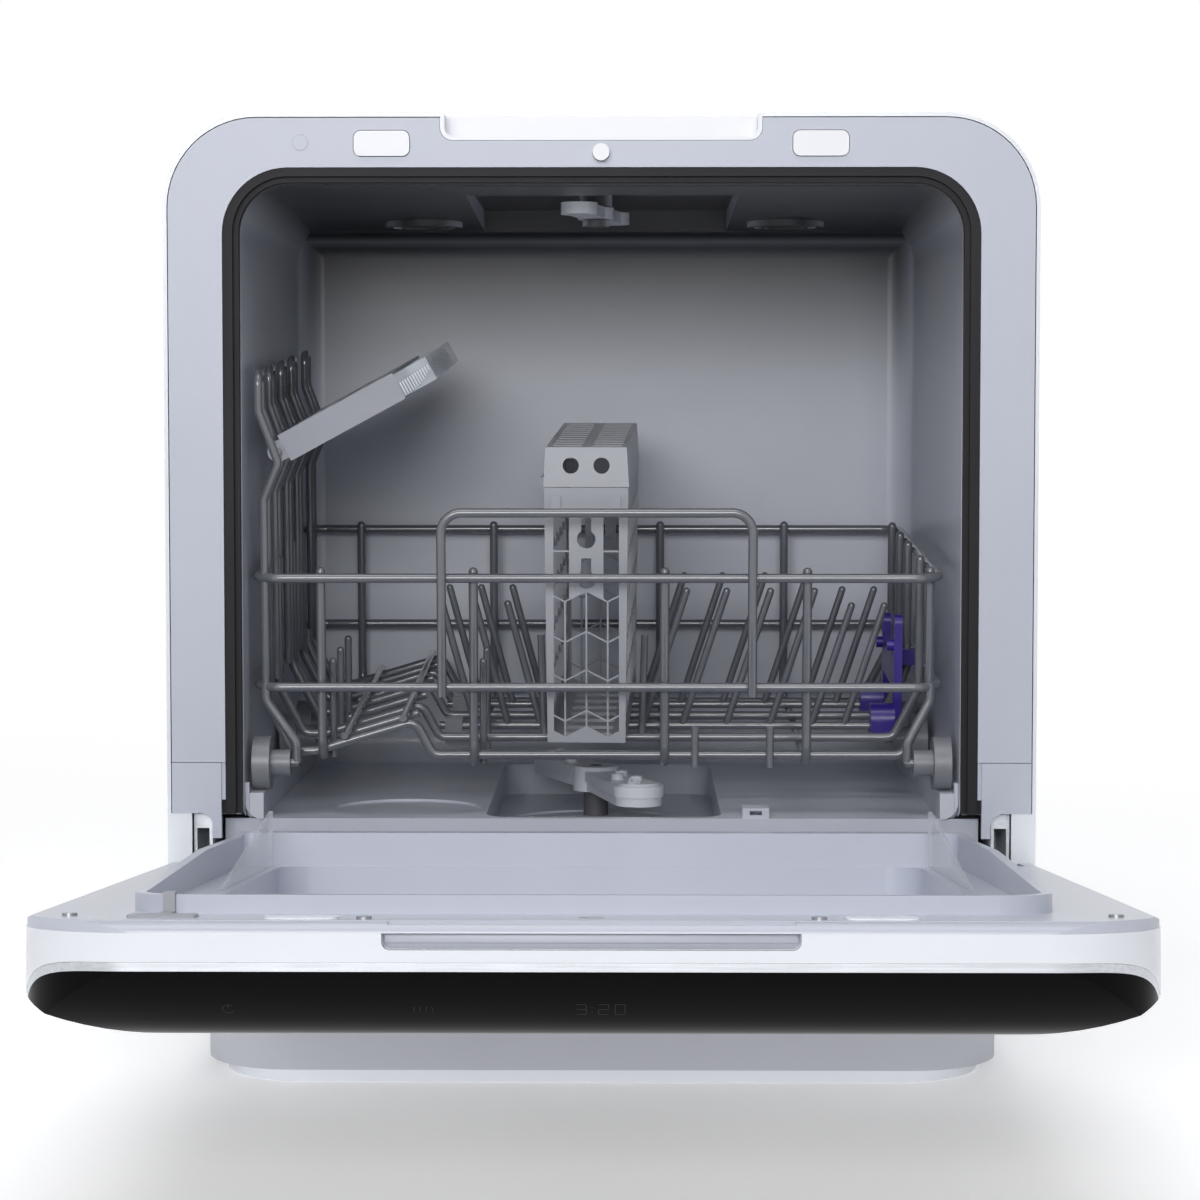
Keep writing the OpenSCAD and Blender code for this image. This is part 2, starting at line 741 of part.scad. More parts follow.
hinge_x = case_w / 2 - 16.5;
pin_r = 2.5;
ear_gap = 6;
ear_t = 1.5;
eye_r = 6;
ear_x = [hinge_x - ear_gap / 2 - ear_t, hinge_x + ear_gap / 2];

// Folded steel bracket: two ears round the pin and a bridge between them inside the cabinet
module hinge_brackets() {
    color(zinc) mirrored() {
        for (x = ear_x) difference() {
            across(x, x + ear_t) {
                translate([pivot_y, pivot_z]) circle(eye_r);
                translate([pivot_y, pivot_z - 3]) square([70, 6]);
                translate([front_y + 6, pivot_z - 3]) square([pivot_out + 49, 44]);
            }
            translate([x - 1, pivot_y, pivot_z]) rotate([0, 90, 0]) cylinder(h = 4, r = pin_r);
        }
        box([ear_x[0] + 1, front_y + 48, pivot_z + 2], [ear_x[1] + 0.5, front_y + 49.5, pivot_z + 41]);
        box([ear_x[0] + 1, front_y + 6, pivot_z + 27], [ear_x[1] + 0.5, front_y + 14, pivot_z + 34]);
        box([tub_w / 2 + tub_t, front_y + 20, pivot_z + 32], [ear_x[0] + 0.5, front_y + 49.5, pivot_z + 41]);
    }
}

module hinge_pins() {
    color(zinc) mirrored() translate([ear_x[0] - 0.8, pivot_y, pivot_z]) rotate([0, 90, 0]) {
        cylinder(h = ear_gap + 2 * ear_t + 1.6, r = pin_r);
        translate([0, 0, ear_gap + 2 * ear_t + 0.8]) cylinder(h = 1.2, r = pin_r + 1.5);
    }
}

// Counterbalance springs, drawn as closed coils between the bridge and the bracket's front
module hinge_springs() {
    coil_r = 1.9;
    color(zinc) mirrored() translate([hinge_x, front_y + 14 + 0.05, pivot_z + 30.5]) rotate([-90, 0, 0]) {
        cylinder(h = 33.8, r = 0.8);
        for (i = [0 : 15]) translate([0, 0, 1.5 + i * 2]) rotate_extrude() translate([coil_r - 0.8, 0]) circle(0.7, $fn = 16);
    }
}

// ---------- door, built closed and then turned about the hinge axis ----------

module door_pose() {
    translate([0, pivot_y, pivot_z]) rotate([door_open, 0, 0]) children();
}

// Radius of the arc that leaves a flat face and falls by drop over run
function roll_r(run, drop) = (run * run + drop * drop) / (2 * drop);

seam_side_y = ledge_y - side_band;
seam_top_y = ledge_y - top_band;
seam_r = roll_r(34, side_band - top_band);
top_r = roll_r(top_roll, door_t - top_band - trim_h);
side_r = roll_r(side_roll, door_t - side_band);
edge_r = 4.4;

// Part of a 2-D shape outside a circle, within the circle's corner quarter
module corner_off(c, r, dx, dz) {
    difference() {
        translate([dx > 0 ? c[0] : c[0] - r - 1, dz > 0 ? c[1] : c[1] - r - 1]) square(r + 1);
        translate(c) circle(r);
    }
}

// The domed door body, inset by g from its outer skin
module door_solid(g, back) {
    difference() {
        along_y(glass_y + g, back) arch(door_half - g, door_bot + g, door_top - g, 12 - g, case_r - g);
        across(-case_w, case_w) {
            corner_off([glass_y + top_r, door_top - top_roll], top_r - g, -1, 1);
            corner_off([glass_y + 12, door_bot + 12], 12 - g, -1, -1);
        }
        translate([0, 0, door_bot - 1]) linear_extrude(case_h)
            for (s = [-1, 1]) corner_off([s * (door_half - side_roll), glass_y + side_r], side_r - g, s, -1);
    }
}

// Everything in front of the seam between white frame and glass, moved forward by g
module ahead_of_seam(g) {
    across(-case_w, case_w) {
        translate([-100, -100]) square([100 + seam_side_y - g, 600]);
        translate([seam_top_y - seam_r, door_top]) circle(seam_r - g);
    }
}

module door_frame() {
    back = ledge_y - edge_r;
    color(white) door_pose() difference() {
        union() {
            difference() {
                door_solid(0, back);
                door_solid(door_wall, back + 1);
            }
            box([-79, back - 9, door_top - 8.5], [79, back, door_top - 1]);
        }
        ahead_of_seam(0);
        hinge_pockets();
        translate([0, back + 1, door_top - 6]) linear_extrude(10) slab2(150, 14, 3);
    }
}

module door_trim() {
    color(zinc) door_pose() difference() {
        intersection() {
            door_solid(0.3, ledge_y);
            ahead_of_seam(0.1);
        }
        door_solid(door_wall, ledge_y + 1);
        ahead_of_seam(trim_h);
        hinge_pockets();
    }
}

module door_glass() {
    color(black) door_pose() difference() {
        intersection() {
            door_solid(0.3, ledge_y);
            ahead_of_seam(trim_h + 0.1);
        }
        door_solid(0.3 + glass_t, ledge_y + 1);
    }
}

// Room for the hinge ears at both lower corners
module hinge_pockets() {
    for (s = [-1, 1]) translate([s * hinge_x, 0, 0]) box([-6.6, -7.6, door_bot - 1], [6.6, 40, 24]);
}

recess_x = rim_half - 22;
recess_z = [29.5, door_top - 51];
recess_r = 16;
plate_y = ledge_y - ledge_t;
recess_y = ledge_y - recess_d;

// Outline of the ledge with its rolled edge
module ledge_solid(g) {
    r = edge_r - g;
    difference() {
        along_y(ledge_y - edge_r, ledge_y) arch(door_half - g, door_bot + g, door_top - g, 12 - g, case_r - g);
        across(-case_w, case_w) {
            corner_off([ledge_y - edge_r, door_top - edge_r], r, 1, 1);
            corner_off([ledge_y - 6, door_bot + 6], 6 - g, 1, -1);
        }
        translate([0, 0, door_bot - 1]) linear_extrude(case_h)
            for (s = [-1, 1]) corner_off([s * (door_half - edge_r), ledge_y - edge_r], r, s, 1);
    }
}

// Side view of the liner's rim: it stands higher towards the hinge
module rim_side() {
    polygon([[plate_y, lip_low], [lip_y, lip_low], [lip_y, lip_high], [lip_y - 1.5, 36], [lip_y - 1.5, 150],
        [ledge_y + rim_h, rim_top - 30], [ledge_y + rim_h, rim_top], [plate_y, rim_top]]);
}

module door_liner() {
    color(pale_grey) door_pose() difference() {
        union() {
            difference() {
                ledge_solid(0.4);
                along_y(0, plate_y) arch(door_half - 3, door_bot + 3, door_top - 3, 9, case_r - 3);
            }
            intersection() {
                across(-rim_half, rim_half) rim_side();
                along_y(0, 40) difference() {
                    arch(rim_half, lip_low, rim_top, 4, tub_r - 2);
                    arch(rim_half - rim_t, lip_high, rim_top - rim_t, 4, tub_r - 2 - rim_t);
                }
            }
            along_y(recess_y - ledge_t, plate_y + 1)
                arch(recess_x + ledge_t, recess_z[0] - ledge_t, recess_z[1] + ledge_t, recess_r, recess_r);
        }
        along_y(recess_y, ledge_y + 1) arch(recess_x, recess_z[0], recess_z[1], recess_r, recess_r);
        box([-rim_half + 2.5, plate_y - 1, lip_low + 2.5], [rim_half - 2.5, lip_y - 2.5, lip_high - 2.5]);
        hinge_pockets();
        translate([0, 0, plunger_z - pivot_z]) rotate([-90, 0, 0]) cylinder(h = 30, r = plunger_r + 1);
        box([-73, ledge_y - 1.5, door_top - 5], [73, ledge_y + 1, door_top + 1]);
        for (p = screw_xz) translate([p[0], 0, p[1]]) rotate([-90, 0, 0]) cylinder(h = 30, r = screw_r);
    }
}
screw_r = 1.6;
screw_xz = [for (s = [-1, 1]) each [[s * (door_half - 19), door_top - 25], [s * 82, door_top - 10]]];

// Clear fins that keep the spray off the door's sides
module splash_fins() {
    color([0.8, 0.83, 0.88, 0.5]) door_pose() mirrored()
        across(recess_x + 3.5, recess_x + 5.5) polygon([[ledge_y + 0.05, 33], [39, 33], [ledge_y + 0.05, recess_z[1] - 114]]);
}

module door_pads() {
    color(white) door_pose() for (x = [-pad_x, pad_x])
        translate([x, 0, pad_z - pivot_z]) along_y(ledge_y, ledge_y + 0.7) slab2(pad_w, pad_h, 3.4);
}

// Flat strip near the top with a tab that climbs over the rim
module vent_strip() {
    x = 16 - rim_half;
    color(mid_grey) door_pose() {
        translate([x, 0, rim_top + 16]) along_y(ledge_y, ledge_y + 1) slab2(25, 10, 1);
        box([x - 2.2, ledge_y, rim_top + 0.2], [x + 2.2, ledge_y + 1, rim_top + 12]);
        box([x - 2.2, ledge_y, rim_top + 0.05], [x + 2.2, ledge_y + rim_h + 1, rim_top + 1.1]);
        box([x - 2.2, ledge_y + rim_h + 0.05, rim_top - rim_t], [x + 2.2, ledge_y + rim_h + 1, rim_top + 1.1]);
    }
}

module door_screws() {
    color(zinc) door_pose() for (p = screw_xz) translate([p[0], ledge_y, p[1]]) {
        rotate([90, 0, 0]) cylinder(h = 9, r = screw_r - 0.05);
        difference() {
            rotate([-90, 0, 0]) cylinder(h = 1, r = 2.8);
            box([-2, 0.5, -0.4], [2, 2, 0.4]);
        }
    }
}

// Touch control board behind the upper edge of the glass
module control_board() {
    y = glass_y + glass_t + 3;
    color([0.12, 0.35, 0.2]) door_pose() {
        box([80 - door_half, y, door_top - 84], [door_half - 80, y + 1.6, door_top - 50]);
        for (x = [-110, 0, 110]) box([x - 6, glass_y + 0.35 + glass_t, door_top - 74], [x + 6, y, door_top - 60]);
        for (x = [-60, 40]) box([x, y + 1.6, door_top - 76], [x + 22, y + 7, door_top - 62]);
    }
}

module hinge_arms() {
    arm_half = ear_gap / 2 - 0.4;
    color(zinc) door_pose() mirrored() difference() {
        union() {
            across(hinge_x - arm_half, hinge_x + arm_half) {
                circle(eye_r);
                translate([-5, 0]) square([10, 58]);
            }
            box([hinge_x - 14, 5 - 1.5, 28], [hinge_x + 10, 5, 58]);
            box([hinge_x - 14, 5, 34], [hinge_x - 4, plate_y - 0.05, 52]);
        }
        translate([hinge_x - 5, 0, 0]) rotate([0, 90, 0]) cylinder(h = 10, r = pin_r + run_gap);
    }
}

// ---------- basket ----------

module basket_pose() {
    translate([basket_x, basket_y, basket_z]) rotate([basket_tilt, 0, 0]) children();
}

module rim_loop(z) {
    c = rim_corner;
    for (y = [0, rim_y]) rod([-rim_x + c, y, z], [rim_x - c, y, z], wire_r);
    for (s = [-1, 1]) rod([s * rim_x, c, z], [s * rim_x, rim_y - c, z], wire_r);
    for (s = [-1, 1], end = [0, 1])
        translate([s * (rim_x - c), end ? rim_y - c : c, z])
            rotate(s > 0 ? (end ? 0 : -90) : (end ? 90 : 180)) rotate_extrude(angle = 90) translate([c, 0]) circle(wire_r);
}

// Height of the tilted floor above the worktop at a distance y behind the front rim
function floor_up(y) = basket_z + y * sin(basket_tilt);

// Height of the raised floor at x
function ramp_at(x) = ramp_z[0] + (x - ramp_x[0]) * (ramp_z[1] - ramp_z[0]) / (ramp_x[1] - ramp_x[0]);

// Domed end of a wire that stands upright
module dome(p, r) translate(p) sphere(r, $fn = 16);

module upright_ends(p) for (q = p) dome(q, wire_r);

module basket_frame() {
    back = rim_y - wire_d + weld;
    front = wire_d - weld;
    top = rim_high + 2.6;
    color(zinc) basket_pose() {
        rim_loop(rim_low);
        rim_loop(rim_high);
        for (x = long_x) {
            low = x < ramp_x[0] + 20 ? ramp_at(x) - wire_d + weld : long_z;
            wire([[x, front, top], [x, front, low], [x, back, low], [x, back, top]], wire_r, bend_r);
            upright_ends([[x, front, top], [x, back, top]]);
        }
        for (y = cross_y) {
            wire([[-side_x, y, top], [-side_x, y, 24], [-side_x + 12.5, y, ramp_z[0] - 0.2], [ramp_x[0], y, ramp_z[0]],
                [ramp_x[1], y, ramp_z[1]], [ramp_x[1] + 9, y, cross_z], [side_x - 13, y, cross_z],
                [side_x, y, 23], [side_x, y, top]], wire_r, 5.5);
            upright_ends([[-side_x, y, top], [side_x, y, top]]);
        }
        for (x = [48, 85]) rod([x, cross_y[0] - 3.8, -8], [x, cross_y[0] - 3.8, 12], tine_r);
        for (s = [-1, 1]) {
            foot = [cut_x + s * 25, cross_y[1], cross_z];
            rod(foot, foot + [s * 1.5, 0, 53], tine_r);
        }
    }
}

// Rods and short bars of the raised floor, and the pins along its long wires
module cup_ramp() {
    color(zinc) basket_pose() {
        for (x = ramp_rod_x) rod([x, 4, ramp_at(x) + wire_r + tine_r - weld],
            [x, rim_y - 4, ramp_at(x) + wire_r + tine_r - weld], tine_r);
        for (y = ramp_bar_y) rod([ramp_x[0] + 9, y, ramp_at(ramp_x[0] + 9)], [ramp_x[1], y, ramp_at(ramp_x[1])], wire_r - 0.05);
        for (x = [long_x[0], long_x[1]], y = x < -100 ? [22, 62, 104] : [22, 62]) {
            low = x < -100 ? ramp_at(x) : cross_z;
            rod([x + 3.8, y, low - wire_d - 2], [x + 3.8, y, pin_top], tine_r);
            dome([x + 3.8, y, pin_top], tine_r);
        }
    }
}

// Bent wires that carry the axles, on both sides of the basket
module wheel_struts() {
    color(zinc) for (y = wheel_y, s = [-1, 1]) {
        up = floor_up(y - basket_y);
        wire([[basket_x + s * side_x, y, up + rim_low + 2], [basket_x + s * side_x, y, up + 26],
            [s * strut_x, y, axle_z + 10], [s * strut_x, y, axle_z]], wire_r, 6);
        rod([s * (strut_x - 1), y, axle_z], [s * (wheel_x + wheel_w - 1), y, axle_z], wire_r - run_gap);
    }
}

module basket_handle() {
    y = -wire_d + weld;
    color(zinc) basket_pose() wire([[handle_x[0], y, rim_low - 4], [handle_x[0], y, handle_top],
        [handle_x[1], y, handle_top], [handle_x[1], y, rim_low - 4]], wire_r, 10);
}

// Five hoops that carry the cup shelf; each kinks inwards where the shelf's pins cross it
shelf_hooks = [0, 2, 3];
module cup_rack() {
    x = -side_x;
    color(zinc) basket_pose() {
        for (y = hoop_y) {
            y0 = y - hoop_half;
            y1 = y + hoop_half;
            wire([[x, y0, rim_low - 3], [x, y0, 124.5], [x + 7.5, y0, 142.6], [x - 2, y0, 168], [x - 2, y0, hoop_z],
                [x - 2, y1, hoop_z], [x - 2, y1, 168], [x + 7.5, y1, 142.6], [x, y1, 124.5], [x, y1, rim_low - 3]],
                2, 5.5);
        }
        for (i = shelf_hooks) rod([shelf_pin[0], hoop_y[i] - hoop_half, shelf_pin[1]],
            [shelf_pin[0], hoop_y[i] + hoop_half, shelf_pin[1]], shelf_pin_r);
    }
}

// Clips in which the tine rows turn, each with a foot that grips one long wire
module tine_clips() {
    color(mid_grey) basket_pose() for (y = tine_row_y) difference() {
        union() {
            translate([clip_x - 19, y - 4.5, long_z - 4.3]) cube([9, 9, tine_z + 4 - long_z + 4.3]);
            translate([clip_x - 19, y - 4.5, long_z - 4.3]) cube([23.5, 9, 5.9]);
        }
        rod([clip_x - 20, y, tine_z], [clip_x - 9, y, tine_z], spine_r + run_gap);
        rod([clip_x, y - 9, long_z], [clip_x, y + 9, long_z], wire_r);
    }
}

// Coloured lock at the right end of both tine rows, hooked to the lower rim
module tine_lock() {
    mid = (tine_row_y[0] + tine_row_y[1]) / 2;
    color([0.2, 0.14, 0.5]) basket_pose() difference() {
        union() {
            across(lock_x[0], lock_x[1]) for (y = tine_row_y) {
                translate([y, 3]) circle(8.5);
                translate([y - 8.5, -6]) square([17, 9]);
            }
            for (i = [0, 1]) across(lock_x[1] - 0.5, lock_x[1] + 3.6) {
                translate([tine_row_y[i] - 4.5, -3]) square([9, lock_top[i] - 1.5]);
                translate([tine_row_y[i], lock_top[i] - 4.5]) circle(4.5);
            }
            box([lock_x[1] - 0.5, tine_row_y[0], 19], [lock_x[1] + 3.4, tine_row_y[1], 36]);
            box([lock_x[1] + 3, mid - 12, 28], [rim_x - wire_r + weld, mid - 4, 36]);
            for (i = [0, 1]) translate([lock_x[1] - 4, tine_row_y[i], lock_top[i] - 16]) rotate([0, 90, 0]) cylinder(h = 5, r = 3);
        }
        for (y = tine_row_y) rod([lock_x[0] - 1, y, tine_z], [lock_x[1] + 9, y, tine_z], spine_r + run_gap);
    }
}

module tine(x, lean, len) {
    translate([x, 0, 0]) rotate([0, lean, 0]) {
        cylinder(h = len, r = tine_r);
        translate([0, 0, len]) sphere(tine_r);
    }
}

module tine_row(y) {
    color(zinc) basket_pose() translate([0, y, tine_z]) {
        rod([tine_end[0], 0, 0], [tine_end[1], 0, 0], spine_r);
        for (x = tine_left) tine(x, -15, short_tine);
        for (x = tine_right) tine(x, 18, x < 100 ? tine_len : short_tine);
    }
}
spine_r = tine_r + 0.15;
module front_tines() tine_row(tine_row_y[0]);
module rear_tines() tine_row(tine_row_y[1]);

module wheel_pair(y) {
    color(mid_grey) mirrored() translate([0, y, axle_z]) difference() {
        rotate([0, 90, 0]) {
            translate([0, 0, wheel_x]) cylinder(h = wheel_w, r = wheel_r);
            translate([0, 0, wheel_x - hub_len]) cylinder(h = hub_len + 1, r = hub_r);
        }
        rotate([0, 90, 0]) translate([0, 0, wheel_x - hub_len - 1]) cylinder(h = hub_len + wheel_w, r = wire_r);
    }
}
module front_wheels() wheel_pair(wheel_y[0]);
module middle_wheels() wheel_pair(wheel_y[1]);
module rear_wheels() wheel_pair(wheel_y[2]);

// ---------- cutlery box ----------

module cut_pose() {
    basket_pose() translate([cut_x, (cut_y[0] + cut_y[1]) / 2, 0]) rotate(cut_yaw) children();
}

cut_deep = (cut_y[1] - cut_y[0]) / 2;

// Tapered block: a side view drawn once across and once along the box
module taper(half, deep, z0, z1) {
    intersection() {
        along_y(-deep[0] - 5, deep[0] + 5)
            polygon([[-half[0], z0], [half[0], z0], [half[1], z1], [-half[1], z1]]);
        across(-half[0] - 5, half[0] + 5)
            polygon([[-deep[0], z0], [deep[0], z0], [deep[1], z1], [-deep[1], z1]]);
    }
}

// Rise of the zigzag bars at a distance x from the middle of a wall of pitch p
function zig(x, p) = -5.5 * abs(x / p - 2 * round(x / p / 2));

// One window of the lattice between xa and xb, under and over zigzag bars at z0 and z1
module window(xa, xb, z0, z1, p) {
    polygon([[xa, z0 + zig(xa, p) + cut_bar / 2], [xb, z0 + zig(xb, p) + cut_bar / 2],
        [xb, z1 + zig(xb, p) - cut_bar / 2], [xa, z1 + zig(xa, p) - cut_bar / 2]]);
}

bar_z = [10, 18.2, 38.6, 57.9, 78.3, 98, 117.5];
module end_windows() {
    p = 10.6;
    edge = 16.2;
    for (s = [-1, 1], i = [0 : 3]) {
        window(s * cut_bar / 2, s * (p - cut_bar / 2), bar_z[i], bar_z[i + 1], p);
        window(s * (p + cut_bar / 2), s * edge, bar_z[i], bar_z[i + 1], p);
    }
    for (s = [-1, 1]) {
        polygon([for (x = [8.5, p, edge]) [s * x, bar_z[4] + zig(x, p) + cut_bar / 2],
            for (x = [edge, 8.5]) [s * x, bar_z[5] - cut_bar / 2]]);
        translate([s * (edge + 8.5) / 2, (bar_z[5] + bar_z[6]) / 2])
            square([edge - 8.5, bar_z[6] - bar_z[5] - cut_bar], center = true);
    }
    for (z = [84, 104]) {
        translate([0, z]) circle(4.6);
        translate([-2.5, z]) square([5, 10.5]);
    }
}

module side_windows() {
    n = 12;
    p = (cut_deep - 6) / (n / 2);
    for (i = [0 : n - 1], j = [1 : 5])
        window((i - n / 2) * p + 0.5, (i + 1 - n / 2) * p - 0.5, bar_z[j], bar_z[j + 1], p);
}

module cutlery_box() {
    deep = [cut_deep - 1.4, cut_deep];
    seam = cut_z[1];
    color(mid_grey) cut_pose() {
        difference() {
            taper([cut_half[0], cut_half[1]], deep, cut_z[0], seam);
            taper([cut_half[0] - cut_t, cut_half[1] - cut_t], [deep[0] - cut_t, deep[1] - cut_t], cut_z[0] + cut_t, seam + 0.1);
            along_y(-cut_deep - 5, cut_deep + 5) end_windows();
            across(-cut_half[1] - 5, cut_half[1] + 5) side_windows();
            for (i = [-4 : 3]) box([-12, i * 21 + 5, 0], [12, i * 21 + 15, 8]);
        }
        for (s = [-1, 1]) translate([s * 14.8, -cut_deep, 121]) box([-2.2, -1.3, -4.5], [2.2, 0.6, 4.5]);
        for (y = [-40, 40]) translate([-cut_half[1] - hinge_off, y, seam + 0.15]) {
            rotate([90, 0, 0]) cylinder(h = 30, r = lid_pin_r, center = true);
            for (s = [-1, 1]) translate([0, s * 14, 0]) {
                rotate([90, 0, 0]) cylinder(h = 2.4, r = lid_knuckle_r, center = true);
                box([-lid_knuckle_r, -1.2, -6], [hinge_off + 0.8, 1.2, -0.6]);
            }
        }
    }
}

module cutlery_lid() {
    z0 = cut_z[1] + 0.3;
    deep = [cut_deep, cut_deep - 1.2];
    color(mid_grey) cut_pose() difference() {
        union() {
            taper([cut_half[1] + 0.4, cut_half[2]], deep, z0, cut_z[2]);
            for (y = [-40, 40]) translate([-cut_half[1] - hinge_off, y, z0 - 0.15]) {
                rotate([90, 0, 0]) cylinder(h = 24.6, r = lid_knuckle_r, center = true);
                box([0, -12.3, 0.15], [hinge_off + 1, 12.3, lid_knuckle_r]);
            }
        }
        taper([cut_half[1] + 0.4 - cut_t, cut_half[2] - cut_t], [deep[0] - cut_t, deep[1] - cut_t], z0 - 0.1, cut_z[2] - cut_t);
        for (y = [-40, 40]) translate([-cut_half[1] - hinge_off, y, z0 - 0.15]) rotate([90, 0, 0])
            cylinder(h = 26, r = lid_pin_r + run_gap, center = true);
        for (x = [-7.6, 7.6]) translate([x, 0, cut_z[2] - 9]) rotate([90, 0, 0]) cylinder(h = 300, r = 4, center = true);
        for (i = [0 : 10], s = [-1, 1])
            translate([s * 10, (i - 5) * 15.6, cut_z[2]]) cube([15, 9, 12], center = true);
    }
}

// ---------- cup shelf ----------

module shelf_pose() {
    basket_pose() translate([shelf_pin[0], 0, shelf_pin[1]]) rotate([0, -shelf_tilt, 0]) children();
}

module cup_shelf() {
    wall = 3;
    color(pale_grey) shelf_pose() difference() {
        union() {
            box([4, shelf_y[0], -shelf_h / 2], [shelf_len + 4, shelf_y[1], shelf_h / 2]);
            for (i = shelf_hooks) translate([0, hoop_y[i], 0]) rotate([90, 0, 0]) {
                cylinder(h = 2 * hoop_half - 5, r = 5, center = true);
                translate([0, -5, -5.5]) cube([6, 10, 11]);
            }
        }
        box([4 + wall, shelf_y[0] + wall, -shelf_h / 2 - 1], [shelf_len + 4 - wall, shelf_y[1] - wall, shelf_h / 2 - wall]);
        for (i = [0 : 10], j = [0, 1])
            box([12 + j * 28, shelf_y[0] + 10 + i * 15.6, 0], [34 + j * 28, shelf_y[0] + 18 + i * 15.6, shelf_h]);
        translate([0, hoop_y[4] + 20, 0]) rotate([90, 0, 0]) cylinder(h = rim_y + 30, r = shelf_pin_r + run_gap);
    }
}

module cup_comb() {
    x0 = shelf_len + 4.05;
    color([0.85, 0.88, 0.92, 0.5]) shelf_pose() difference() {
        box([x0, shelf_y[0], -shelf_h / 2 + 1], [x0 + comb_len, shelf_y[1], shelf_h / 2 - 1]);
        for (i = [0 : 11]) box([x0 + 6, shelf_y[0] + 6 + i * 15, -shelf_h], [x0 + comb_len - 3, shelf_y[0] + 15 + i * 15, shelf_h]);
    }
}

// ---------- spray arms ----------

// Plan of a spray arm: narrow at the hub, broad at both tips
module blade(w0, w1, reach) {
    for (s = [-1, 1]) {
        polygon([[-s, -w0], [-s, w0], [s * (reach - w1), w1], [s * (reach - w1), -w1]]);
        translate([s * (reach - w1), 0]) circle(w1);
    }
}

// Two welded halves with a groove between them and raised cups round the nozzles
module lower_spray_arm() {
    post_top = arm_z - 6;
    tip = arm_len - tip_r;
    color(pale_grey) translate([hub_pos[0], hub_pos[1], 0]) difference() {
        union() {
            rotate(arm_turn) {
                translate([0, 0, arm_z - 5]) linear_extrude(4.2) blade(7.2, tip_r - 1, arm_len - 1);
                translate([0, 0, arm_z - 1.2]) linear_extrude(1) blade(6.4, tip_r - 1.8, arm_len - 1.8);
                translate([0, 0, arm_z - 0.6]) linear_extrude(5.6) blade(8, tip_r, arm_len);
                for (s = [-1, 1]) translate([s * tip, 0, arm_z + 4]) cylinder(h = 2.2, r1 = tip_r - 1, r2 = tip_r - 4);
                nozzles() cylinder(h = 8, r = 3.2);
            }
            translate([0, 0, post_top]) cylinder(h = 13, r = 12);
        }
        translate([0, 0, post_top - 1]) cylinder(h = 40, r = 3.5 + run_gap);
        rotate(arm_turn) nozzles() translate([0, 0, 1]) cylinder(h = 20, r = 1.8);
    }
}
tip_r = 13;

module nozzles() {
    for (s = [-1, 1], i = [0 : 3])
        translate([s * (arm_len - 13 - 13 * i), s * (i % 2 ? 3 : -3), arm_z]) rotate([0, i == 0 ? 22 * s : 0, 0]) children();
}

module upper_spray_arm() {
    color(pale_grey) translate([hub_pos[0], hub_pos[1], 0]) rotate(top_arm_turn) difference() {
        translate([0, 0, rotor_z[0]]) linear_extrude(rotor_z[1] - rotor_z[0]) {
            square([2 * top_arm_len - 19, 13], center = true);
            for (s = [-1, 0, 1]) translate([s * (top_arm_len - 9.5), 0]) circle(9.5);
        }
        translate([0, 0, rotor_z[0] - 1]) cylinder(h = 20, r = 3 + run_gap);
        for (s = [-1, 1], i = [0 : 2]) translate([s * (18 + i * 10), 0, rotor_z[0] - 1]) cylinder(h = 3, r = 1.3);
    }
}

outer_casing();
rear_cover();
base_pan();
base_plinth();
rubber_feet();
kick_plate();
front_frame();
hinge_covers();
finger_recess();
frame_plug();
push_pad_left();
push_pad_right();
door_plunger();
door_seal();
tub();
basket_rails();
tub_clip();
ceiling_vents();
upper_spray_hub();
feed_pipe();
sump();
filter_plate();
wash_pump();
drain_pump();
water_tank();
drying_fan();
inlet_valve();
drain_outlet();
mains_gland();
hinge_brackets();
hinge_pins();
hinge_springs();
door_frame();
door_trim();
door_glass();
door_liner();
splash_fins();
door_pads();
vent_strip();
door_screws();
control_board();
hinge_arms();
basket_frame();
cup_ramp();
wheel_struts();
basket_handle();
cup_rack();
tine_clips();
tine_lock();
front_tines();
rear_tines();
front_wheels();
middle_wheels();
rear_wheels();
cutlery_box();
cutlery_lid();
cup_shelf();
cup_comb();
lower_spray_arm();
upper_spray_arm();
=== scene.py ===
"""Finishes and small fittings for a countertop dishwasher, laid out as an add-on and run as a script."""

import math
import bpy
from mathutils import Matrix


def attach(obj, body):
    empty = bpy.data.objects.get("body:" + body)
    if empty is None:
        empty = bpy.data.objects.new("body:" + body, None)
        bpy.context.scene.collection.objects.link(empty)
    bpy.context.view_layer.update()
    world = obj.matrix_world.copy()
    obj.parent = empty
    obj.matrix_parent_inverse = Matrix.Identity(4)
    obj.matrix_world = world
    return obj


bl_info = {
    "name": "Countertop Dishwasher Finishes",
    "version": (1, 0, 0),
    "blender": (4, 5, 0),
    "location": "View3D > Sidebar > Dishwasher",
    "description": "Dresses the dishwasher's cabinet, door, basket and inner fittings",
    "category": "Object",
}

import bmesh
import bpy
from mathutils import Matrix, Vector
from mathutils.bvhtree import BVHTree

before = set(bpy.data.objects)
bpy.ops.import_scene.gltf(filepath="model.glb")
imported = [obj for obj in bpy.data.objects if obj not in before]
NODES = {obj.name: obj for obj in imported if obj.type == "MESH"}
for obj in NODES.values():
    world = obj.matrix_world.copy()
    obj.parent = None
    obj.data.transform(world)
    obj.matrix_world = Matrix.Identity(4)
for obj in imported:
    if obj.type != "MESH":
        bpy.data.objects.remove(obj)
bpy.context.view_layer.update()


# ---------- fixed places and sizes ----------

MM = 0.001

# Where the door and the cup shelf stand at rest: pivots in millimetres, turns in degrees.
DOOR_PIVOT, DOOR_ANGLE = (0.0, -210.0, 96.5), 85.0
SHELF_SEAT, SHELF_LEAN = (-2.0, -165.7, 158.0), 4.0
SHELF_PIN, SHELF_TILT = (-156.5, 0.0, 148.0), -28.5

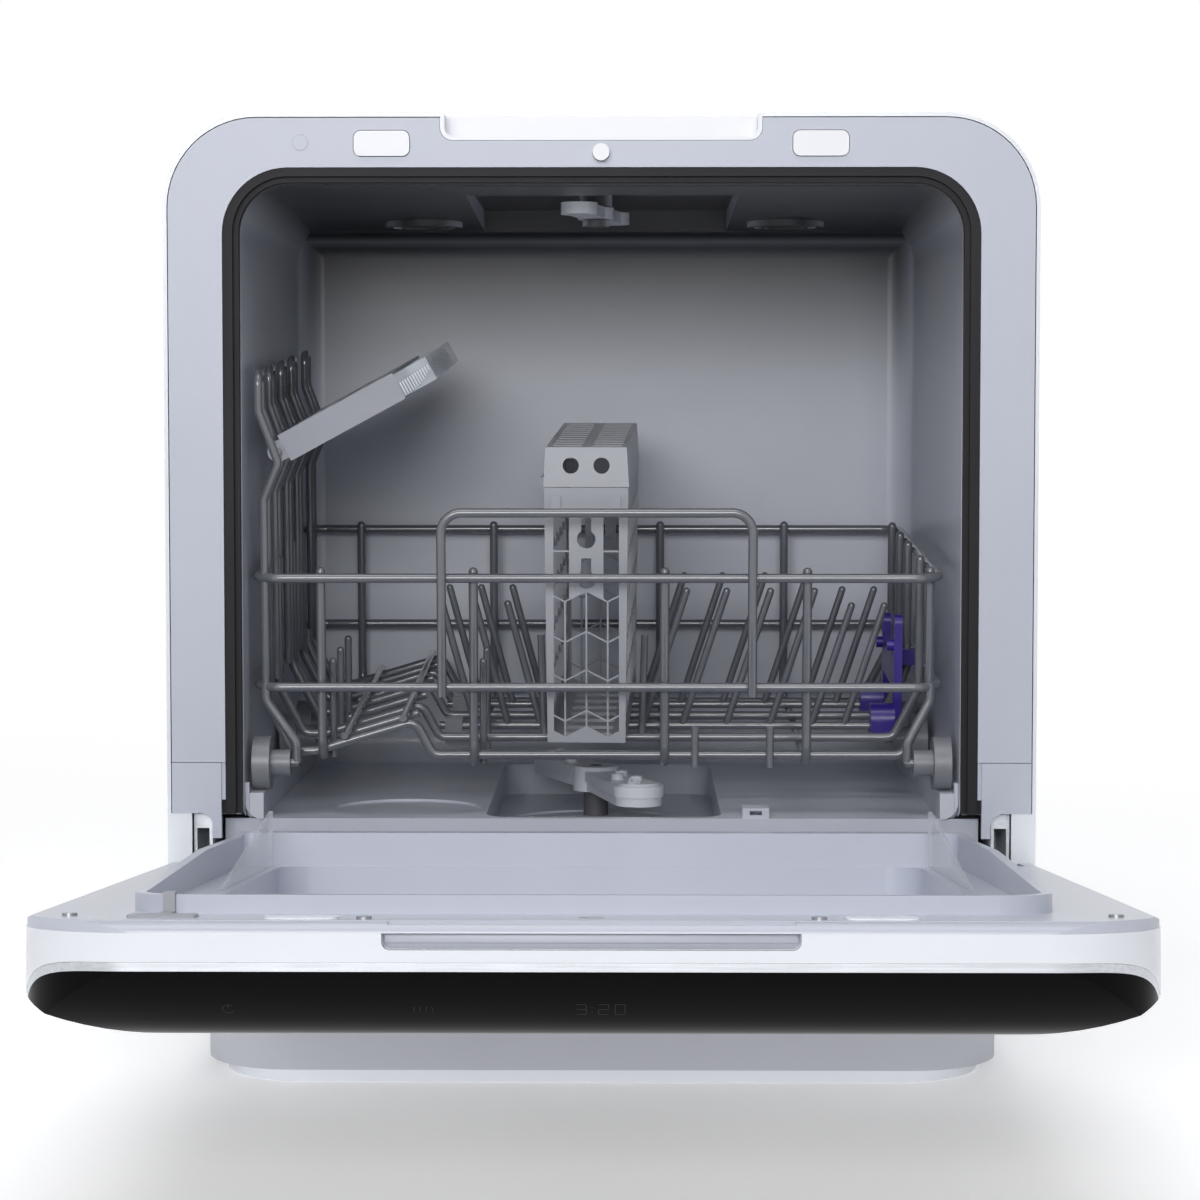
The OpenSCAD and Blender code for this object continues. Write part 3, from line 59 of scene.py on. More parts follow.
# Outline and two levels of the grey lining in the door's finger cut: half width, low and high edge,
# corner radius, near and far face, bevel, all in millimetres in the door's own coordinates.
GRIP_LAYERS = (
    (74.7, 2.85, 8.3, 2.8, 365.1, 365.6, 0.15),
    (74.2, 4.9, 8.2, 0.6, 365.6, 366.6, 0.2),
)
CORNER_STEPS = 6

# Touch marks on the glass, in millimetres across the door (x) and through it (y).
MARK_ROW = -19.5
MARK_LIFT = 0.05
MARK_PITCH = 1.5
RAY_START = 400.0
POWER_RING = {"centre": -131.0, "half_width": 2.2, "half_height": 1.6, "start": 50, "step": 28, "count": 10}
POWER_BAR = (0.4, 2.2)
PROGRAMME_BARS = {"first": -64.0, "pitch": 2.2, "count": 4, "reach": 1.0}
CLOCK = ((-5.5, "abgcd"), (2.5, "abged"), (8.5, "abcdef"))
CLOCK_DOTS = {"x": (0.0, 0.5), "heights": (-0.8, 0.8)}
SEGMENTS = {
    "a": ((0, 2), (3.6, 2)),
    "b": ((3.6, 2), (3.6, 0)),
    "c": ((3.6, 0), (3.6, -2)),
    "d": ((0, -2), (3.6, -2)),
    "e": ((0, 0), (0, -2)),
    "f": ((0, 2), (0, 0)),
    "g": ((0, 0), (3.6, 0)),
}

# Ridges on the clear comb: first ridge, pitch, width, foot and head heights, near and far face.
RIDGES = {
    "first": 68.9, "pitch": 1.42, "width": 0.75, "foot": -5.6, "rise": 6.2, "span": 17.1, "curve": 2.2,
    "head": 1.2, "climb": 0.12, "near": 2.9, "far": 3.95, "bevel": 0.15,
}

# Floor, lamps and camera, in metres and degrees.
FLOOR_REACH, FLOOR_SQUARES = 6.0, 8
FLOOR_LIFT = 0.34
FADE_NEAR, FADE_FAR = 0.7, 1.8
WORLD_TINT = (0.95, 0.97, 1.0, 1.0)
# Name, place, target, size, share of the key's power, seen in reflections, spread.
LAMPS = (
    ("front_softbox", (-0.3, -3.0, 0.95), (0, -0.1, 0.25), (1.6, 0.8), 1.0, True, 180.0),
    ("top_softbox", (-0.2, -0.9, 2.6), (0, -0.35, 0.1), (2.2, 1.6), 0.72, True, 180.0),
    ("rear_softbox", (0.5, 3.0, 1.2), (0, 0.2, 0.2), (2.0, 1.2), 0.85, False, 180.0),
    ("right_softbox", (3.0, 0.6, 1.2), (0.2, 0.0, 0.2), (1.4, 1.0), 0.35, False, 180.0),
    ("left_softbox", (-3.0, 0.6, 1.2), (-0.2, 0.0, 0.2), (1.4, 1.0), 0.35, False, 180.0),
    ("plinth_fill", (0.0, -1.1, 0.045), (0, -0.19, 0.02), (1.3, 0.04), 0.009, False, 20.0),
)
SENSOR_WIDTH = 36.0
CAMERA_CLIP = (0.05, 50.0)
CAMERA_PLACE = (0.01337, -1.64712, 0.31700)
CAMERA_DOWN, CAMERA_LEFT = 3.233, 0.549


# ---------- settings ----------


def colour(name, text, rgb):
    return bpy.props.FloatVectorProperty(
        name=name, description=text, default=rgb, size=3, min=0.0, max=1.0, subtype="COLOR"
    )


def share(name, text, value):
    return bpy.props.FloatProperty(name=name, description=text, default=value, min=0.0, max=1.0, subtype="FACTOR")


def length(name, text, value, largest=1.0):
    return bpy.props.FloatProperty(
        name=name, description=text, default=value * MM, min=0.0, max=largest * MM,
        subtype="DISTANCE", unit="LENGTH",
    )


class CabinetFinish(bpy.types.PropertyGroup):
    enamel: colour("Enamel", "White of the casing, plinth and door sides", (0.80, 0.825, 0.88))
    base_pan: colour("Base pan", "Grey of the pan under the cabinet", (0.48, 0.49, 0.54))
    touch_white: colour("Touch white", "White of the finger recess, push pads and plunger", (0.80, 0.81, 0.85))
    frame_grey: colour("Frame grey", "Grey of the front frame and hinge covers", (0.51, 0.535, 0.62))
    seal_black: colour("Seal", "Black of the door seal", (0.012, 0.012, 0.014))
    foot_black: colour("Feet", "Black of the feet and the gland", (0.02, 0.02, 0.02))
    zinc: colour("Zinc", "Plated hinge steel", (0.70, 0.73, 0.77))
    pin_steel: colour("Pin steel", "Steel of the hinge pins", (0.3, 0.31, 0.33))
    edge_wear: share("Edge wear", "How far edges lighten with use", 0.25)


class TubFinish(bpy.types.PropertyGroup):
    wall: colour("Wall", "Grey of the moulded wash cavity", (0.56, 0.58, 0.655))
    fitting: colour("Fitting", "Pale grey of rails, covers and vents", (0.56, 0.58, 0.64))
    spray_arm: colour("Spray arm", "Pale grey of the spray arms", (0.78, 0.81, 0.87))
    dark_fitting: colour("Dark fitting", "Grey of the sump and pumps", (0.10, 0.10, 0.11))
    tank: colour("Tank", "Milky grey of the water tank and its pipe", (0.62, 0.63, 0.66))
    grain: length("Grain", "Height of the moulded grain", 0.05)


class DoorFinish(bpy.types.PropertyGroup):
    liner: colour("Liner", "Grey of the inner door liner", (0.53, 0.555, 0.64))
    glass: colour("Glass", "Black of the domed outer panel", (0.0015, 0.0015, 0.0018))
    trim: colour("Trim", "Bright strip between the frame and the glass", (0.60, 0.62, 0.66))
    splash: colour("Splash fins", "Tint of the clear fins in the liner", (0.72, 0.75, 0.80))
    vent_strip: colour("Vent strip", "Grey of the strip on the liner", (0.33, 0.34, 0.37))
    screw: colour("Screws", "Steel of the liner's screws", (0.35, 0.36, 0.38))
    board: colour("Board", "Green of the control board", (0.02, 0.12, 0.05))
    grip: colour("Grip lining", "Grey lining of the finger cut", (0.50, 0.515, 0.585))
    mark: colour("Touch marks", "Faint grey of the marks on the glass", (0.022, 0.022, 0.024))
    mark_width: length("Mark width", "Width of the strokes of the touch marks", 0.32)
    gloss: share("Gloss roughness", "Roughness of the outer panel", 0.06)


class BasketFinish(bpy.types.PropertyGroup):
    wire: colour("Wire", "Grey coating of the wires", (0.135, 0.142, 0.163))
    plastic: colour("Plastic", "Grey of the wheels and clips", (0.22, 0.225, 0.25))
    cutlery: colour("Cutlery", "Grey of the cutlery box and its lid", (0.38, 0.39, 0.43))
    shelf: colour("Shelf", "Grey of the cup shelf", (0.32, 0.33, 0.38))
    comb: colour("Comb", "Tint of the shelf's clear comb", (0.62, 0.66, 0.72))
    ridge: colour("Ridges", "Tint of the comb's ridges", (0.80, 0.84, 0.90))
    ridge_count: bpy.props.IntProperty(
        name="Ridge count", description="How many ridges the comb has", default=12, min=1, max=12
    )
    lock: colour("Lock", "Violet of the tine lock", (0.035, 0.018, 0.26))


class StageSettings(bpy.types.PropertyGroup):
    floor: colour("Floor", "Colour of the floor", (0.93, 0.93, 0.94))
    key: bpy.props.FloatProperty(
        name="Key light", description="Power of the large front light", default=38.5, min=0.0, unit="POWER"
    )
    world: bpy.props.FloatProperty(
        name="World light", description="Strength of the even surrounding light", default=0.12, min=0.0, max=2.0
    )
    lens: bpy.props.FloatProperty(
        name="Lens", description="Focal length of the camera", default=90.58, min=10.0, unit="CAMERA"
    )


GROUPS = (CabinetFinish, TubFinish, DoorFinish, BasketFinish, StageSettings)


# ---------- shared effects ----------

# How sharp an edge has to be before it is painted paler, as wear or as a painted highlight, and how far it then
# goes towards white.
EDGE_POINTINESS = (0.53, 0.62)
EDGE_PALE = 0.1
LONG_STREAKS = (30.0, 30.0, 900.0)
TARNISH_GREY = (0.12, 0.12, 0.125, 1.0)
# The parts of a face's direction that count as looking down and as looking forward or back.
LOOKS_DOWN = (-0.85, -0.35)
LOOKS_FORWARD = (0.4, 0.9)


def socket(group, name, side, kind, value=None, low=None, high=None):
    item = group.interface.new_socket(name=name, in_out=side, socket_type=kind)
    if value is not None:
        item.default_value = value
    if low is not None:
        item.min_value, item.max_value = low, high
    return item


def effect_group(name, inputs, outputs):
    """A node group with its named sockets, and the nodes inside that stand for them."""
    group = bpy.data.node_groups.new(name, "ShaderNodeTree")
    for row in inputs:
        socket(group, row[0], "INPUT", row[1], *row[2:])
    for row in outputs:
        socket(group, row[0], "OUTPUT", row[1])
    return group, group.nodes.new("NodeGroupInput"), group.nodes.new("NodeGroupOutput")


def add(tree, kind, settings=None, **values):
    node = tree.nodes.new(kind)
    for k, v in (settings or {}).items():
        setattr(node, k, v)
    for k, v in values.items():
        node.inputs[k.replace("_", " ")].default_value = v
    return node


def ramp(tree, source, low, high, a=0.0, b=1.0):
    node = tree.nodes.new("ShaderNodeMapRange")
    node.inputs["From Min"].default_value, node.inputs["From Max"].default_value = low, high
    node.inputs["To Min"].default_value, node.inputs["To Max"].default_value = a, b
    tree.links.new(source, node.inputs["Value"])
    return node.outputs["Result"]


def math_node(tree, op, a, b):
    node = tree.nodes.new("ShaderNodeMath")
    node.operation = op
    for i, v in enumerate((a, b)):
        if isinstance(v, (int, float)):
            node.inputs[i].default_value = v
        else:
            tree.links.new(v, node.inputs[i])
    return node.outputs[0]


def mix_colour(tree, factor, a, b, blend="MIX"):
    node = tree.nodes.new("ShaderNodeMix")
    node.data_type, node.blend_type = "RGBA", blend
    ends = [s for s in node.inputs if s.type == "RGBA"]
    for target, v in ((node.inputs[0], factor), (ends[0], a), (ends[1], b)):
        if isinstance(v, (int, float, tuple)):
            target.default_value = v
        else:
            tree.links.new(v, target)
    return next(s for s in node.outputs if s.type == "RGBA")


def build_moulded_grain():
    """Fine moulded grain with slow tone changes and paler edges: wear on most parts, a painted highlight on clear
    plastic.
    """
    group, gin, gout = effect_group(
        "Moulded Grain",
        [
            ("Color", "NodeSocketColor", (0.5, 0.5, 0.5, 1)),
            ("Grain Scale", "NodeSocketFloat", 900.0, 1.0, 5000.0),
            ("Variation", "NodeSocketFloat", 0.05, 0.0, 1.0),
            ("Edge Wear", "NodeSocketFloat", 0.2, 0.0, 1.0),
            ("Roughness", "NodeSocketFloat", 0.4, 0.0, 1.0),
        ],
        [("Color", "NodeSocketColor"), ("Roughness", "NodeSocketFloat"), ("Height", "NodeSocketFloat")],
    )
    link = group.links.new
    place = add(group, "ShaderNodeTexCoord")
    fine = add(group, "ShaderNodeTexNoise", Detail=2.0, Roughness=0.6)
    slow = add(group, "ShaderNodeTexNoise", Scale=14.0, Detail=3.0, Roughness=0.55)
    link(place.outputs["Object"], fine.inputs["Vector"])
    link(place.outputs["Object"], slow.inputs["Vector"])
    link(gin.outputs["Grain Scale"], fine.inputs["Scale"])
    edges = add(group, "ShaderNodeNewGeometry")
    edge = ramp(group, edges.outputs["Pointiness"], *EDGE_POINTINESS)
    edge = math_node(group, "MULTIPLY", edge, gin.outputs["Edge Wear"])
    tone = ramp(group, slow.outputs["Fac"], 0.3, 0.7, -1.0, 1.0)
    tone = math_node(group, "MULTIPLY", tone, gin.outputs["Variation"])
    shade = math_node(group, "ADD", tone, 1.0)
    bright = add(group, "ShaderNodeVectorMath", {"operation": "SCALE"})
    link(gin.outputs["Color"], bright.inputs[0])
    link(shade, bright.inputs["Scale"])
    pale = add(group, "ShaderNodeVectorMath", {"operation": "MULTIPLY_ADD"})
    link(bright.outputs["Vector"], pale.inputs[0])
    pale.inputs[1].default_value = (1.0 - EDGE_PALE,) * 3
    pale.inputs[2].default_value = (EDGE_PALE,) * 3
    # Paler edges: wear, or a painted highlight where the edge amount is high.
    pale_edges = mix_colour(group, edge, bright.outputs["Vector"], pale.outputs["Vector"])
    link(pale_edges, gout.inputs["Color"])
    rough = math_node(group, "ADD", gin.outputs["Roughness"], math_node(group, "MULTIPLY", tone, 0.8))
    link(rough, gout.inputs["Roughness"])
    link(fine.outputs["Fac"], gout.inputs["Height"])
    return group


def build_brushed_metal():
    """Long streaks with a little tarnish, for plated and brushed steel."""
    group, gin, gout = effect_group(
        "Brushed Metal",
        [
            ("Color", "NodeSocketColor", (0.6, 0.6, 0.62, 1)),
            ("Streaks", "NodeSocketVector", LONG_STREAKS),
            ("Tarnish", "NodeSocketFloat", 0.15, 0.0, 1.0),
            ("Roughness", "NodeSocketFloat", 0.3, 0.0, 1.0),
        ],
        [("Color", "NodeSocketColor"), ("Roughness", "NodeSocketFloat"), ("Height", "NodeSocketFloat")],
    )
    link = group.links.new
    place = add(group, "ShaderNodeTexCoord")
    stretch = add(group, "ShaderNodeVectorMath", {"operation": "MULTIPLY"})
    link(place.outputs["Object"], stretch.inputs[0])
    link(gin.outputs["Streaks"], stretch.inputs[1])
    streak = add(group, "ShaderNodeTexNoise", Scale=1.0, Detail=3.0, Roughness=0.65)
    link(stretch.outputs["Vector"], streak.inputs["Vector"])
    blot = add(group, "ShaderNodeTexNoise", Scale=60.0, Detail=4.0, Roughness=0.6)
    link(place.outputs["Object"], blot.inputs["Vector"])
    dull = math_node(group, "MULTIPLY", ramp(group, blot.outputs["Fac"], 0.42, 0.7), gin.outputs["Tarnish"])
    shade = ramp(group, streak.outputs["Fac"], 0.25, 0.75, 0.88, 1.1)
    bright = add(group, "ShaderNodeVectorMath", {"operation": "SCALE"})
    link(gin.outputs["Color"], bright.inputs[0])
    link(shade, bright.inputs["Scale"])
    link(mix_colour(group, dull, bright.outputs["Vector"], TARNISH_GREY), gout.inputs["Color"])
    rough = math_node(group, "ADD", gin.outputs["Roughness"], math_node(group, "MULTIPLY", dull, 0.6))
    link(rough, gout.inputs["Roughness"])
    link(streak.outputs["Fac"], gout.inputs["Height"])
    return group


def build_smudges():
    """Faint wiped marks and specks that only change the gloss."""
    group, gin, gout = effect_group(
        "Wiped Gloss",
        [("Roughness", "NodeSocketFloat", 0.06, 0.0, 1.0), ("Marks", "NodeSocketFloat", 0.1, 0.0, 1.0)],
        [("Roughness", "NodeSocketFloat"), ("Height", "NodeSocketFloat")],
    )
    link = group.links.new
    place = add(group, "ShaderNodeTexCoord")
    swipe = add(group, "ShaderNodeTexNoise", Scale=9.0, Detail=4.0, Roughness=0.6, Distortion=1.2)
    wave = add(group, "ShaderNodeTexNoise", Scale=5.0, Detail=1.0)
    link(place.outputs["Object"], swipe.inputs["Vector"])
    link(place.outputs["Object"], wave.inputs["Vector"])
    marks = math_node(group, "MULTIPLY", ramp(group, swipe.outputs["Fac"], 0.45, 0.75), gin.outputs["Marks"])
    link(math_node(group, "ADD", gin.outputs["Roughness"], marks), gout.inputs["Roughness"])
    link(wave.outputs["Fac"], gout.inputs["Height"])
    return group


def build_painted_cavity_shade():
    """Painted shade: a mask that darkens colour towards the top of the wash cavity and on faces that look down.
    """
    group, gin, gout = effect_group(
        "Painted Cavity Shade",
        [
            ("Low", "NodeSocketFloat", 0.30, 0.0, 2.0),
            ("High", "NodeSocketFloat", 0.43, 0.0, 2.0),
            ("Top Shade", "NodeSocketFloat", 0.12, 0.0, 1.0),
            ("Ceiling Shade", "NodeSocketFloat", 0.08, 0.0, 1.0),
        ],
        [("Mask", "NodeSocketFloat")],
    )
    link = group.links.new
    place = add(group, "ShaderNodeNewGeometry")
    height, facing = add(group, "ShaderNodeSeparateXYZ"), add(group, "ShaderNodeSeparateXYZ")
    link(place.outputs["Position"], height.inputs[0])
    link(place.outputs["Normal"], facing.inputs[0])
    fall = add(group, "ShaderNodeMapRange", {"interpolation_type": "SMOOTHSTEP"})
    link(height.outputs["Z"], fall.inputs["Value"])
    link(gin.outputs["Low"], fall.inputs["From Min"])
    link(gin.outputs["High"], fall.inputs["From Max"])
    fall.inputs["To Min"].default_value = 1.0
    link(gin.outputs["Top Shade"], fall.inputs["To Max"])
    down = add(group, "ShaderNodeMapRange")
    link(facing.outputs["Z"], down.inputs["Value"])
    down.inputs["From Min"].default_value, down.inputs["From Max"].default_value = LOOKS_DOWN
    link(gin.outputs["Ceiling Shade"], down.inputs["To Min"])
    forward = ramp(group, math_node(group, "ABSOLUTE", facing.outputs["Y"], 0.0), *LOOKS_FORWARD)
    lost = math_node(group, "SUBTRACT", 1.0, fall.outputs[0])
    kept = math_node(group, "SUBTRACT", 1.0, math_node(group, "MULTIPLY", forward, lost))
    link(math_node(group, "MINIMUM", kept, down.outputs[0]), gout.inputs["Mask"])
    return group


EFFECTS = {}


def effects():
    """The shared node groups, built once."""
    if not EFFECTS:
        EFFECTS.update(
            grain=build_moulded_grain(),
            brushed=build_brushed_metal(),
            wiped=build_smudges(),
            shade=build_painted_cavity_shade(),
        )
    return EFFECTS


# ---------- materials ----------

COAT_ROUGHNESS = 0.12
GLASS_SPECULAR = 0.06


def start_material(name):
    mat = bpy.data.materials.new(name)
    mat.use_nodes = True
    tree = mat.node_tree
    tree.nodes.clear()
    out = tree.nodes.new("ShaderNodeOutputMaterial")
    shader = tree.nodes.new("ShaderNodeBsdfPrincipled")
    tree.links.new(shader.outputs["BSDF"], out.inputs["Surface"])
    return mat, tree, shader


def place_effect(tree, key, **values):
    node = tree.nodes.new("ShaderNodeGroup")
    node.node_tree = effects()[key]
    for k, v in values.items():
        node.inputs[k.replace("_", " ")].default_value = v
    return node


def background_rays(tree):
    """1 for the rays that show the plain background: seen straight, mirrored or through glass."""
    path = tree.nodes.new("ShaderNodeLightPath")
    seen = math_node(tree, "MAXIMUM", path.outputs["Is Camera Ray"], path.outputs["Is Glossy Ray"])
    return math_node(tree, "MAXIMUM", seen, path.outputs["Is Transmission Ray"])


def bump(tree, shader, height, distance, strength=1.0):
    node = tree.nodes.new("ShaderNodeBump")
    node.inputs["Distance"].default_value = distance
    node.inputs["Strength"].default_value = strength
    tree.links.new(height, node.inputs["Height"])
    tree.links.new(node.outputs["Normal"], shader.inputs["Normal"])


def moulded(
    name, rgb, rough=0.42, grain=900.0, depth=0.03 * MM, variation=0.04, wear=0.15, coat=0.0, specular=0.5
):
    """Moulded or painted surface; grain is its fineness, depth its height in metres."""
    mat, tree, shader = start_material(name)
    look = place_effect(
        tree, "grain",
        Color=(*rgb, 1.0), Grain_Scale=grain, Variation=variation, Edge_Wear=wear, Roughness=rough,
    )
    tree.links.new(look.outputs["Color"], shader.inputs["Base Color"])
    tree.links.new(look.outputs["Roughness"], shader.inputs["Roughness"])
    shader.inputs["Specular IOR Level"].default_value = specular
    if coat:
        shader.inputs["Coat Weight"].default_value = coat
        shader.inputs["Coat Roughness"].default_value = COAT_ROUGHNESS
    bump(tree, shader, look.outputs["Height"], depth)
    return mat


def cavity_plastic(name, rgb, rough, grain, depth, top=0.12, ceiling=0.08):
    """Moulded plastic with painted shade: its colour darkens towards the top of the wash cavity and on faces that
    look down.
    """
    mat, tree, shader = start_material(name)
    look = place_effect(
        tree, "grain",
        Color=(*rgb, 1.0), Grain_Scale=grain, Variation=0.03, Edge_Wear=0.06, Roughness=rough,
    )
    mask = place_effect(tree, "shade", Top_Shade=top, Ceiling_Shade=ceiling)
    # Painted shade: the mask multiplies the base colour.
    colour_with_painted_shade = mix_colour(tree, 1.0, look.outputs["Color"], mask.outputs["Mask"], "MULTIPLY")
    tree.links.new(colour_with_painted_shade, shader.inputs["Base Color"])
    tree.links.new(look.outputs["Roughness"], shader.inputs["Roughness"])
    shader.inputs["Specular IOR Level"].default_value = 0.4
    bump(tree, shader, look.outputs["Height"], depth)
    return mat


def metal(name, rgb, rough=0.3, streaks=LONG_STREAKS, tarnish=0.15, metallic=1.0, depth=0.01 * MM):
    """Plated or brushed steel; streaks is the fineness of its brushing along each axis."""
    mat, tree, shader = start_material(name)
    look = place_effect(tree, "brushed", Color=(*rgb, 1.0), Streaks=streaks, Tarnish=tarnish, Roughness=rough)
    tree.links.new(look.outputs["Color"], shader.inputs["Base Color"])
    tree.links.new(look.outputs["Roughness"], shader.inputs["Roughness"])
    shader.inputs["Metallic"].default_value = metallic
    bump(tree, shader, look.outputs["Height"], depth)
    return mat


def glossy_panel(name, rgb, rough, marks=0.05):
    """Deep black glass with faint wiped marks."""
    mat, tree, shader = start_material(name)
    look = place_effect(tree, "wiped", Roughness=rough, Marks=marks)
    shader.inputs["Base Color"].default_value = (*rgb, 1.0)
    shader.inputs["Specular IOR Level"].default_value = GLASS_SPECULAR
    tree.links.new(look.outputs["Roughness"], shader.inputs["Roughness"])
    bump(tree, shader, look.outputs["Height"], 0.05 * MM, 0.2)
    return mat


def clear_plastic(name, rgb, alpha=0.35):
    """Clear plastic with a painted highlight: its edges are painted paler where they would catch the light."""
    mat, tree, shader = start_material(name)
    # Painted highlight: the high edge amount paints the edges pale.
    look = place_effect(
        tree, "grain",
        Color=(*rgb, 1.0), Grain_Scale=400.0, Variation=0.03, Edge_Wear=0.6, Roughness=0.22,
    )
    tree.links.new(look.outputs["Color"], shader.inputs["Base Color"])
    tree.links.new(look.outputs["Roughness"], shader.inputs["Roughness"])
    shader.inputs["Alpha"].default_value = alpha
    bump(tree, shader, look.outputs["Height"], 0.02 * MM)
    return mat


def paint(mat, *names):
    """Give one material to CAD nodes."""
    for name in names:
        node = NODES[name]
        node.data.materials.clear()
        node.data.materials.append(mat)
        for poly in node.data.polygons:
            poly.material_index = 0


def smooth_edges(obj, angle=30.0):
    for poly in obj.data.polygons:
        poly.use_smooth = True
    obj.data.set_sharp_from_angle(angle=math.radians(angle))


# ---------- pieces ----------


def turn(degrees, axis):
    return Matrix.Rotation(math.radians(degrees), 4, axis)


DOOR_REST = Matrix.Translation(Vector(DOOR_PIVOT) * MM) @ turn(DOOR_ANGLE, "X")
SHELF_REST = (
    Matrix.Translation(Vector(SHELF_SEAT) * MM) @ turn(SHELF_LEAN, "X")
    @ Matrix.Translation(Vector(SHELF_PIN) * MM) @ turn(SHELF_TILT, "Y")
)


def piece(name, mesh_maker, mat, body):
    """A new mesh object that rides on a CAD body and takes a slot's finish."""
    bm = bmesh.new()
    mesh_maker(bm)
    mesh = bpy.data.meshes.new(name)
    bm.normal_update()
    bm.to_mesh(mesh)
    bm.free()
    obj = bpy.data.objects.new(name, mesh)
    bpy.context.collection.objects.link(obj)
    mesh.materials.append(mat)
    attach(obj, body)
    smooth_edges(obj)
    return obj


def slab(bm, outline, low, high, place=Matrix.Identity(4), order=(0, 1, 2), bevel=0.0):
    """A closed prism over an outline in millimetres; order says which axes hold the outline and the height."""
    rings = []
    for level in (low, high):
        ring = []
        for u, v in outline:
            point = [0.0, 0.0, 0.0]
            point[order[0]], point[order[1]], point[order[2]] = u, v, level
            ring.append(bm.verts.new(place @ (Vector(point) * MM)))
        rings.append(ring)
    count = len(outline)
    faces = [bm.faces.new(rings[0]), bm.faces.new(rings[1])]
    for i in range(count):
        j = (i + 1) % count
        faces.append(bm.faces.new((rings[0][i], rings[0][j], rings[1][j], rings[1][i])))
    bmesh.ops.recalc_face_normals(bm, faces=faces)
    if bevel:
        edges = list({e for f in faces[:2] for e in f.edges})
        bmesh.ops.bevel(bm, geom=edges, offset=bevel * MM, segments=2, profile=0.5, affect="EDGES")


def rounded(half, low, high, radius):
    """Outline from -half to half whose two lower corners are rounded."""
    points = [(half, high)]
    for side in (1, -1):
        for i in range(CORNER_STEPS + 1):
            a = math.radians(90.0 * i / CORNER_STEPS)
            a = a if side > 0 else math.radians(90.0) - a
            points.append((side * (half - radius + radius * math.cos(a)), low + radius - radius * math.sin(a)))
    return points + [(-half, high)]


def lay_stroke(bm, tree, start, end, width):
    """A thin strip between two points, laid on the domed glass that tree holds."""

    def lay(x, y):
        hit = tree.ray_cast(Vector((x, y, RAY_START)) * MM, Vector((0, 0, -1)))
        return bm.verts.new(DOOR_REST @ (hit[0] + hit[1] * MARK_LIFT * MM))

    (x0, y0), (x1, y1) = start, end
    reach = math.hypot(x1 - x0, y1 - y0)
    nx, ny = -(y1 - y0) / reach * width / 2, (x1 - x0) / reach * width / 2
    steps = max(2, int(reach / MARK_PITCH))
    rows = [(x0 + (x1 - x0) * i / steps, y0 + (y1 - y0) * i / steps) for i in range(steps + 1)]
    rails = [(lay(x + nx, y + ny), lay(x - nx, y - ny)) for x, y in rows]
    for (a, b), (c, e) in zip(rails, rails[1:]):
        bm.faces.new((a, b, e, c))


def mark_strokes():
    """The ends of every stroke of the touch marks: power ring, programme bars and clock."""
    y, ring, bars = MARK_ROW, POWER_RING, PROGRAMME_BARS
    for i in range(ring["count"]):
        yield [
            (
                ring["centre"] + ring["half_width"] * math.cos(math.radians(angle)),
                y + ring["half_height"] * math.sin(math.radians(angle)),
            )
            for angle in (ring["start"] + ring["step"] * i, ring["start"] + ring["step"] * (i + 1))
        ]
    yield [(ring["centre"], y + v) for v in POWER_BAR]
    for i in range(bars["count"]):
        x = bars["first"] + bars["pitch"] * i
        yield [(x, y - bars["reach"]), (x, y + bars["reach"])]
    for x, lit in CLOCK:
        for key in lit:
            yield [(x + u, y + v) for u, v in SEGMENTS[key]]
    for v in CLOCK_DOTS["heights"]:
        yield [(x, y + v) for x in CLOCK_DOTS["x"]]


# ---------- operators ----------


class Fitting(bpy.types.Operator):
    """Shared base for the operators below"""

    bl_options = {"REGISTER", "UNDO"}


class DISHWASHER_OT_casing(Fitting):
    """Finish the casing, plinth, base pan and feet"""

    bl_idname = "dishwasher.casing"
    bl_label = "Casing"

    def execute(self, context):
        c = context.scene.cabinet_finish
        enamel = moulded(
            "Casing enamel", c.enamel,
            rough=0.3, grain=500.0, depth=0.02 * MM, variation=0.015, wear=c.edge_wear, coat=0.15,
        )
        paint(enamel, "outer_casing", "rear_cover", "base_plinth", "kick_plate", "inlet_valve")
        paint(moulded("Base pan grey", c.base_pan, rough=0.45, variation=0.02), "base_pan")
        rubber = moulded("Foot rubber", c.foot_black, rough=0.8, grain=600.0, depth=0.1 * MM, wear=0.1)
        paint(rubber, "rubber_feet", "mains_gland")
        return {"FINISHED"}


class DISHWASHER_OT_front_frame(Fitting):
    """Finish the front frame, its seal, finger recess, push pads and plunger"""

    bl_idname = "dishwasher.front_frame"
    bl_label = "Front frame"

    def execute(self, context):
        c = context.scene.cabinet_finish
        white = moulded("Scoop white", c.touch_white, rough=0.3, variation=0.02)
        paint(white, "finger_recess", "push_pad_left", "push_pad_right", "door_plunger")
        grey = moulded("Front frame grey", c.frame_grey, rough=0.38, grain=700.0, variation=0.02)
        paint(grey, "front_frame", "hinge_covers", "frame_plug")
        rubber = moulded(
            "Seal rubber", c.seal_black, rough=0.5, grain=1200.0, depth=0.05 * MM, wear=0.0, specular=0.2
        )
        paint(rubber, "door_seal")
        return {"FINISHED"}


class DISHWASHER_OT_hinges(Fitting):
    """Finish the hinge brackets, arms, springs and pins"""

    bl_idname = "dishwasher.hinges"
    bl_label = "Hinges"

    def execute(self, context):
        c = context.scene.cabinet_finish
        zinc = metal(
            "Hinge zinc", c.zinc, rough=0.4, streaks=(200.0, 30.0, 900.0), tarnish=0.2, metallic=0.45
        )
        paint(zinc, "hinge_brackets", "hinge_arms", "hinge_springs")
        paint(metal("Pin steel", c.pin_steel, rough=0.28, tarnish=0.1), "hinge_pins")
        return {"FINISHED"}


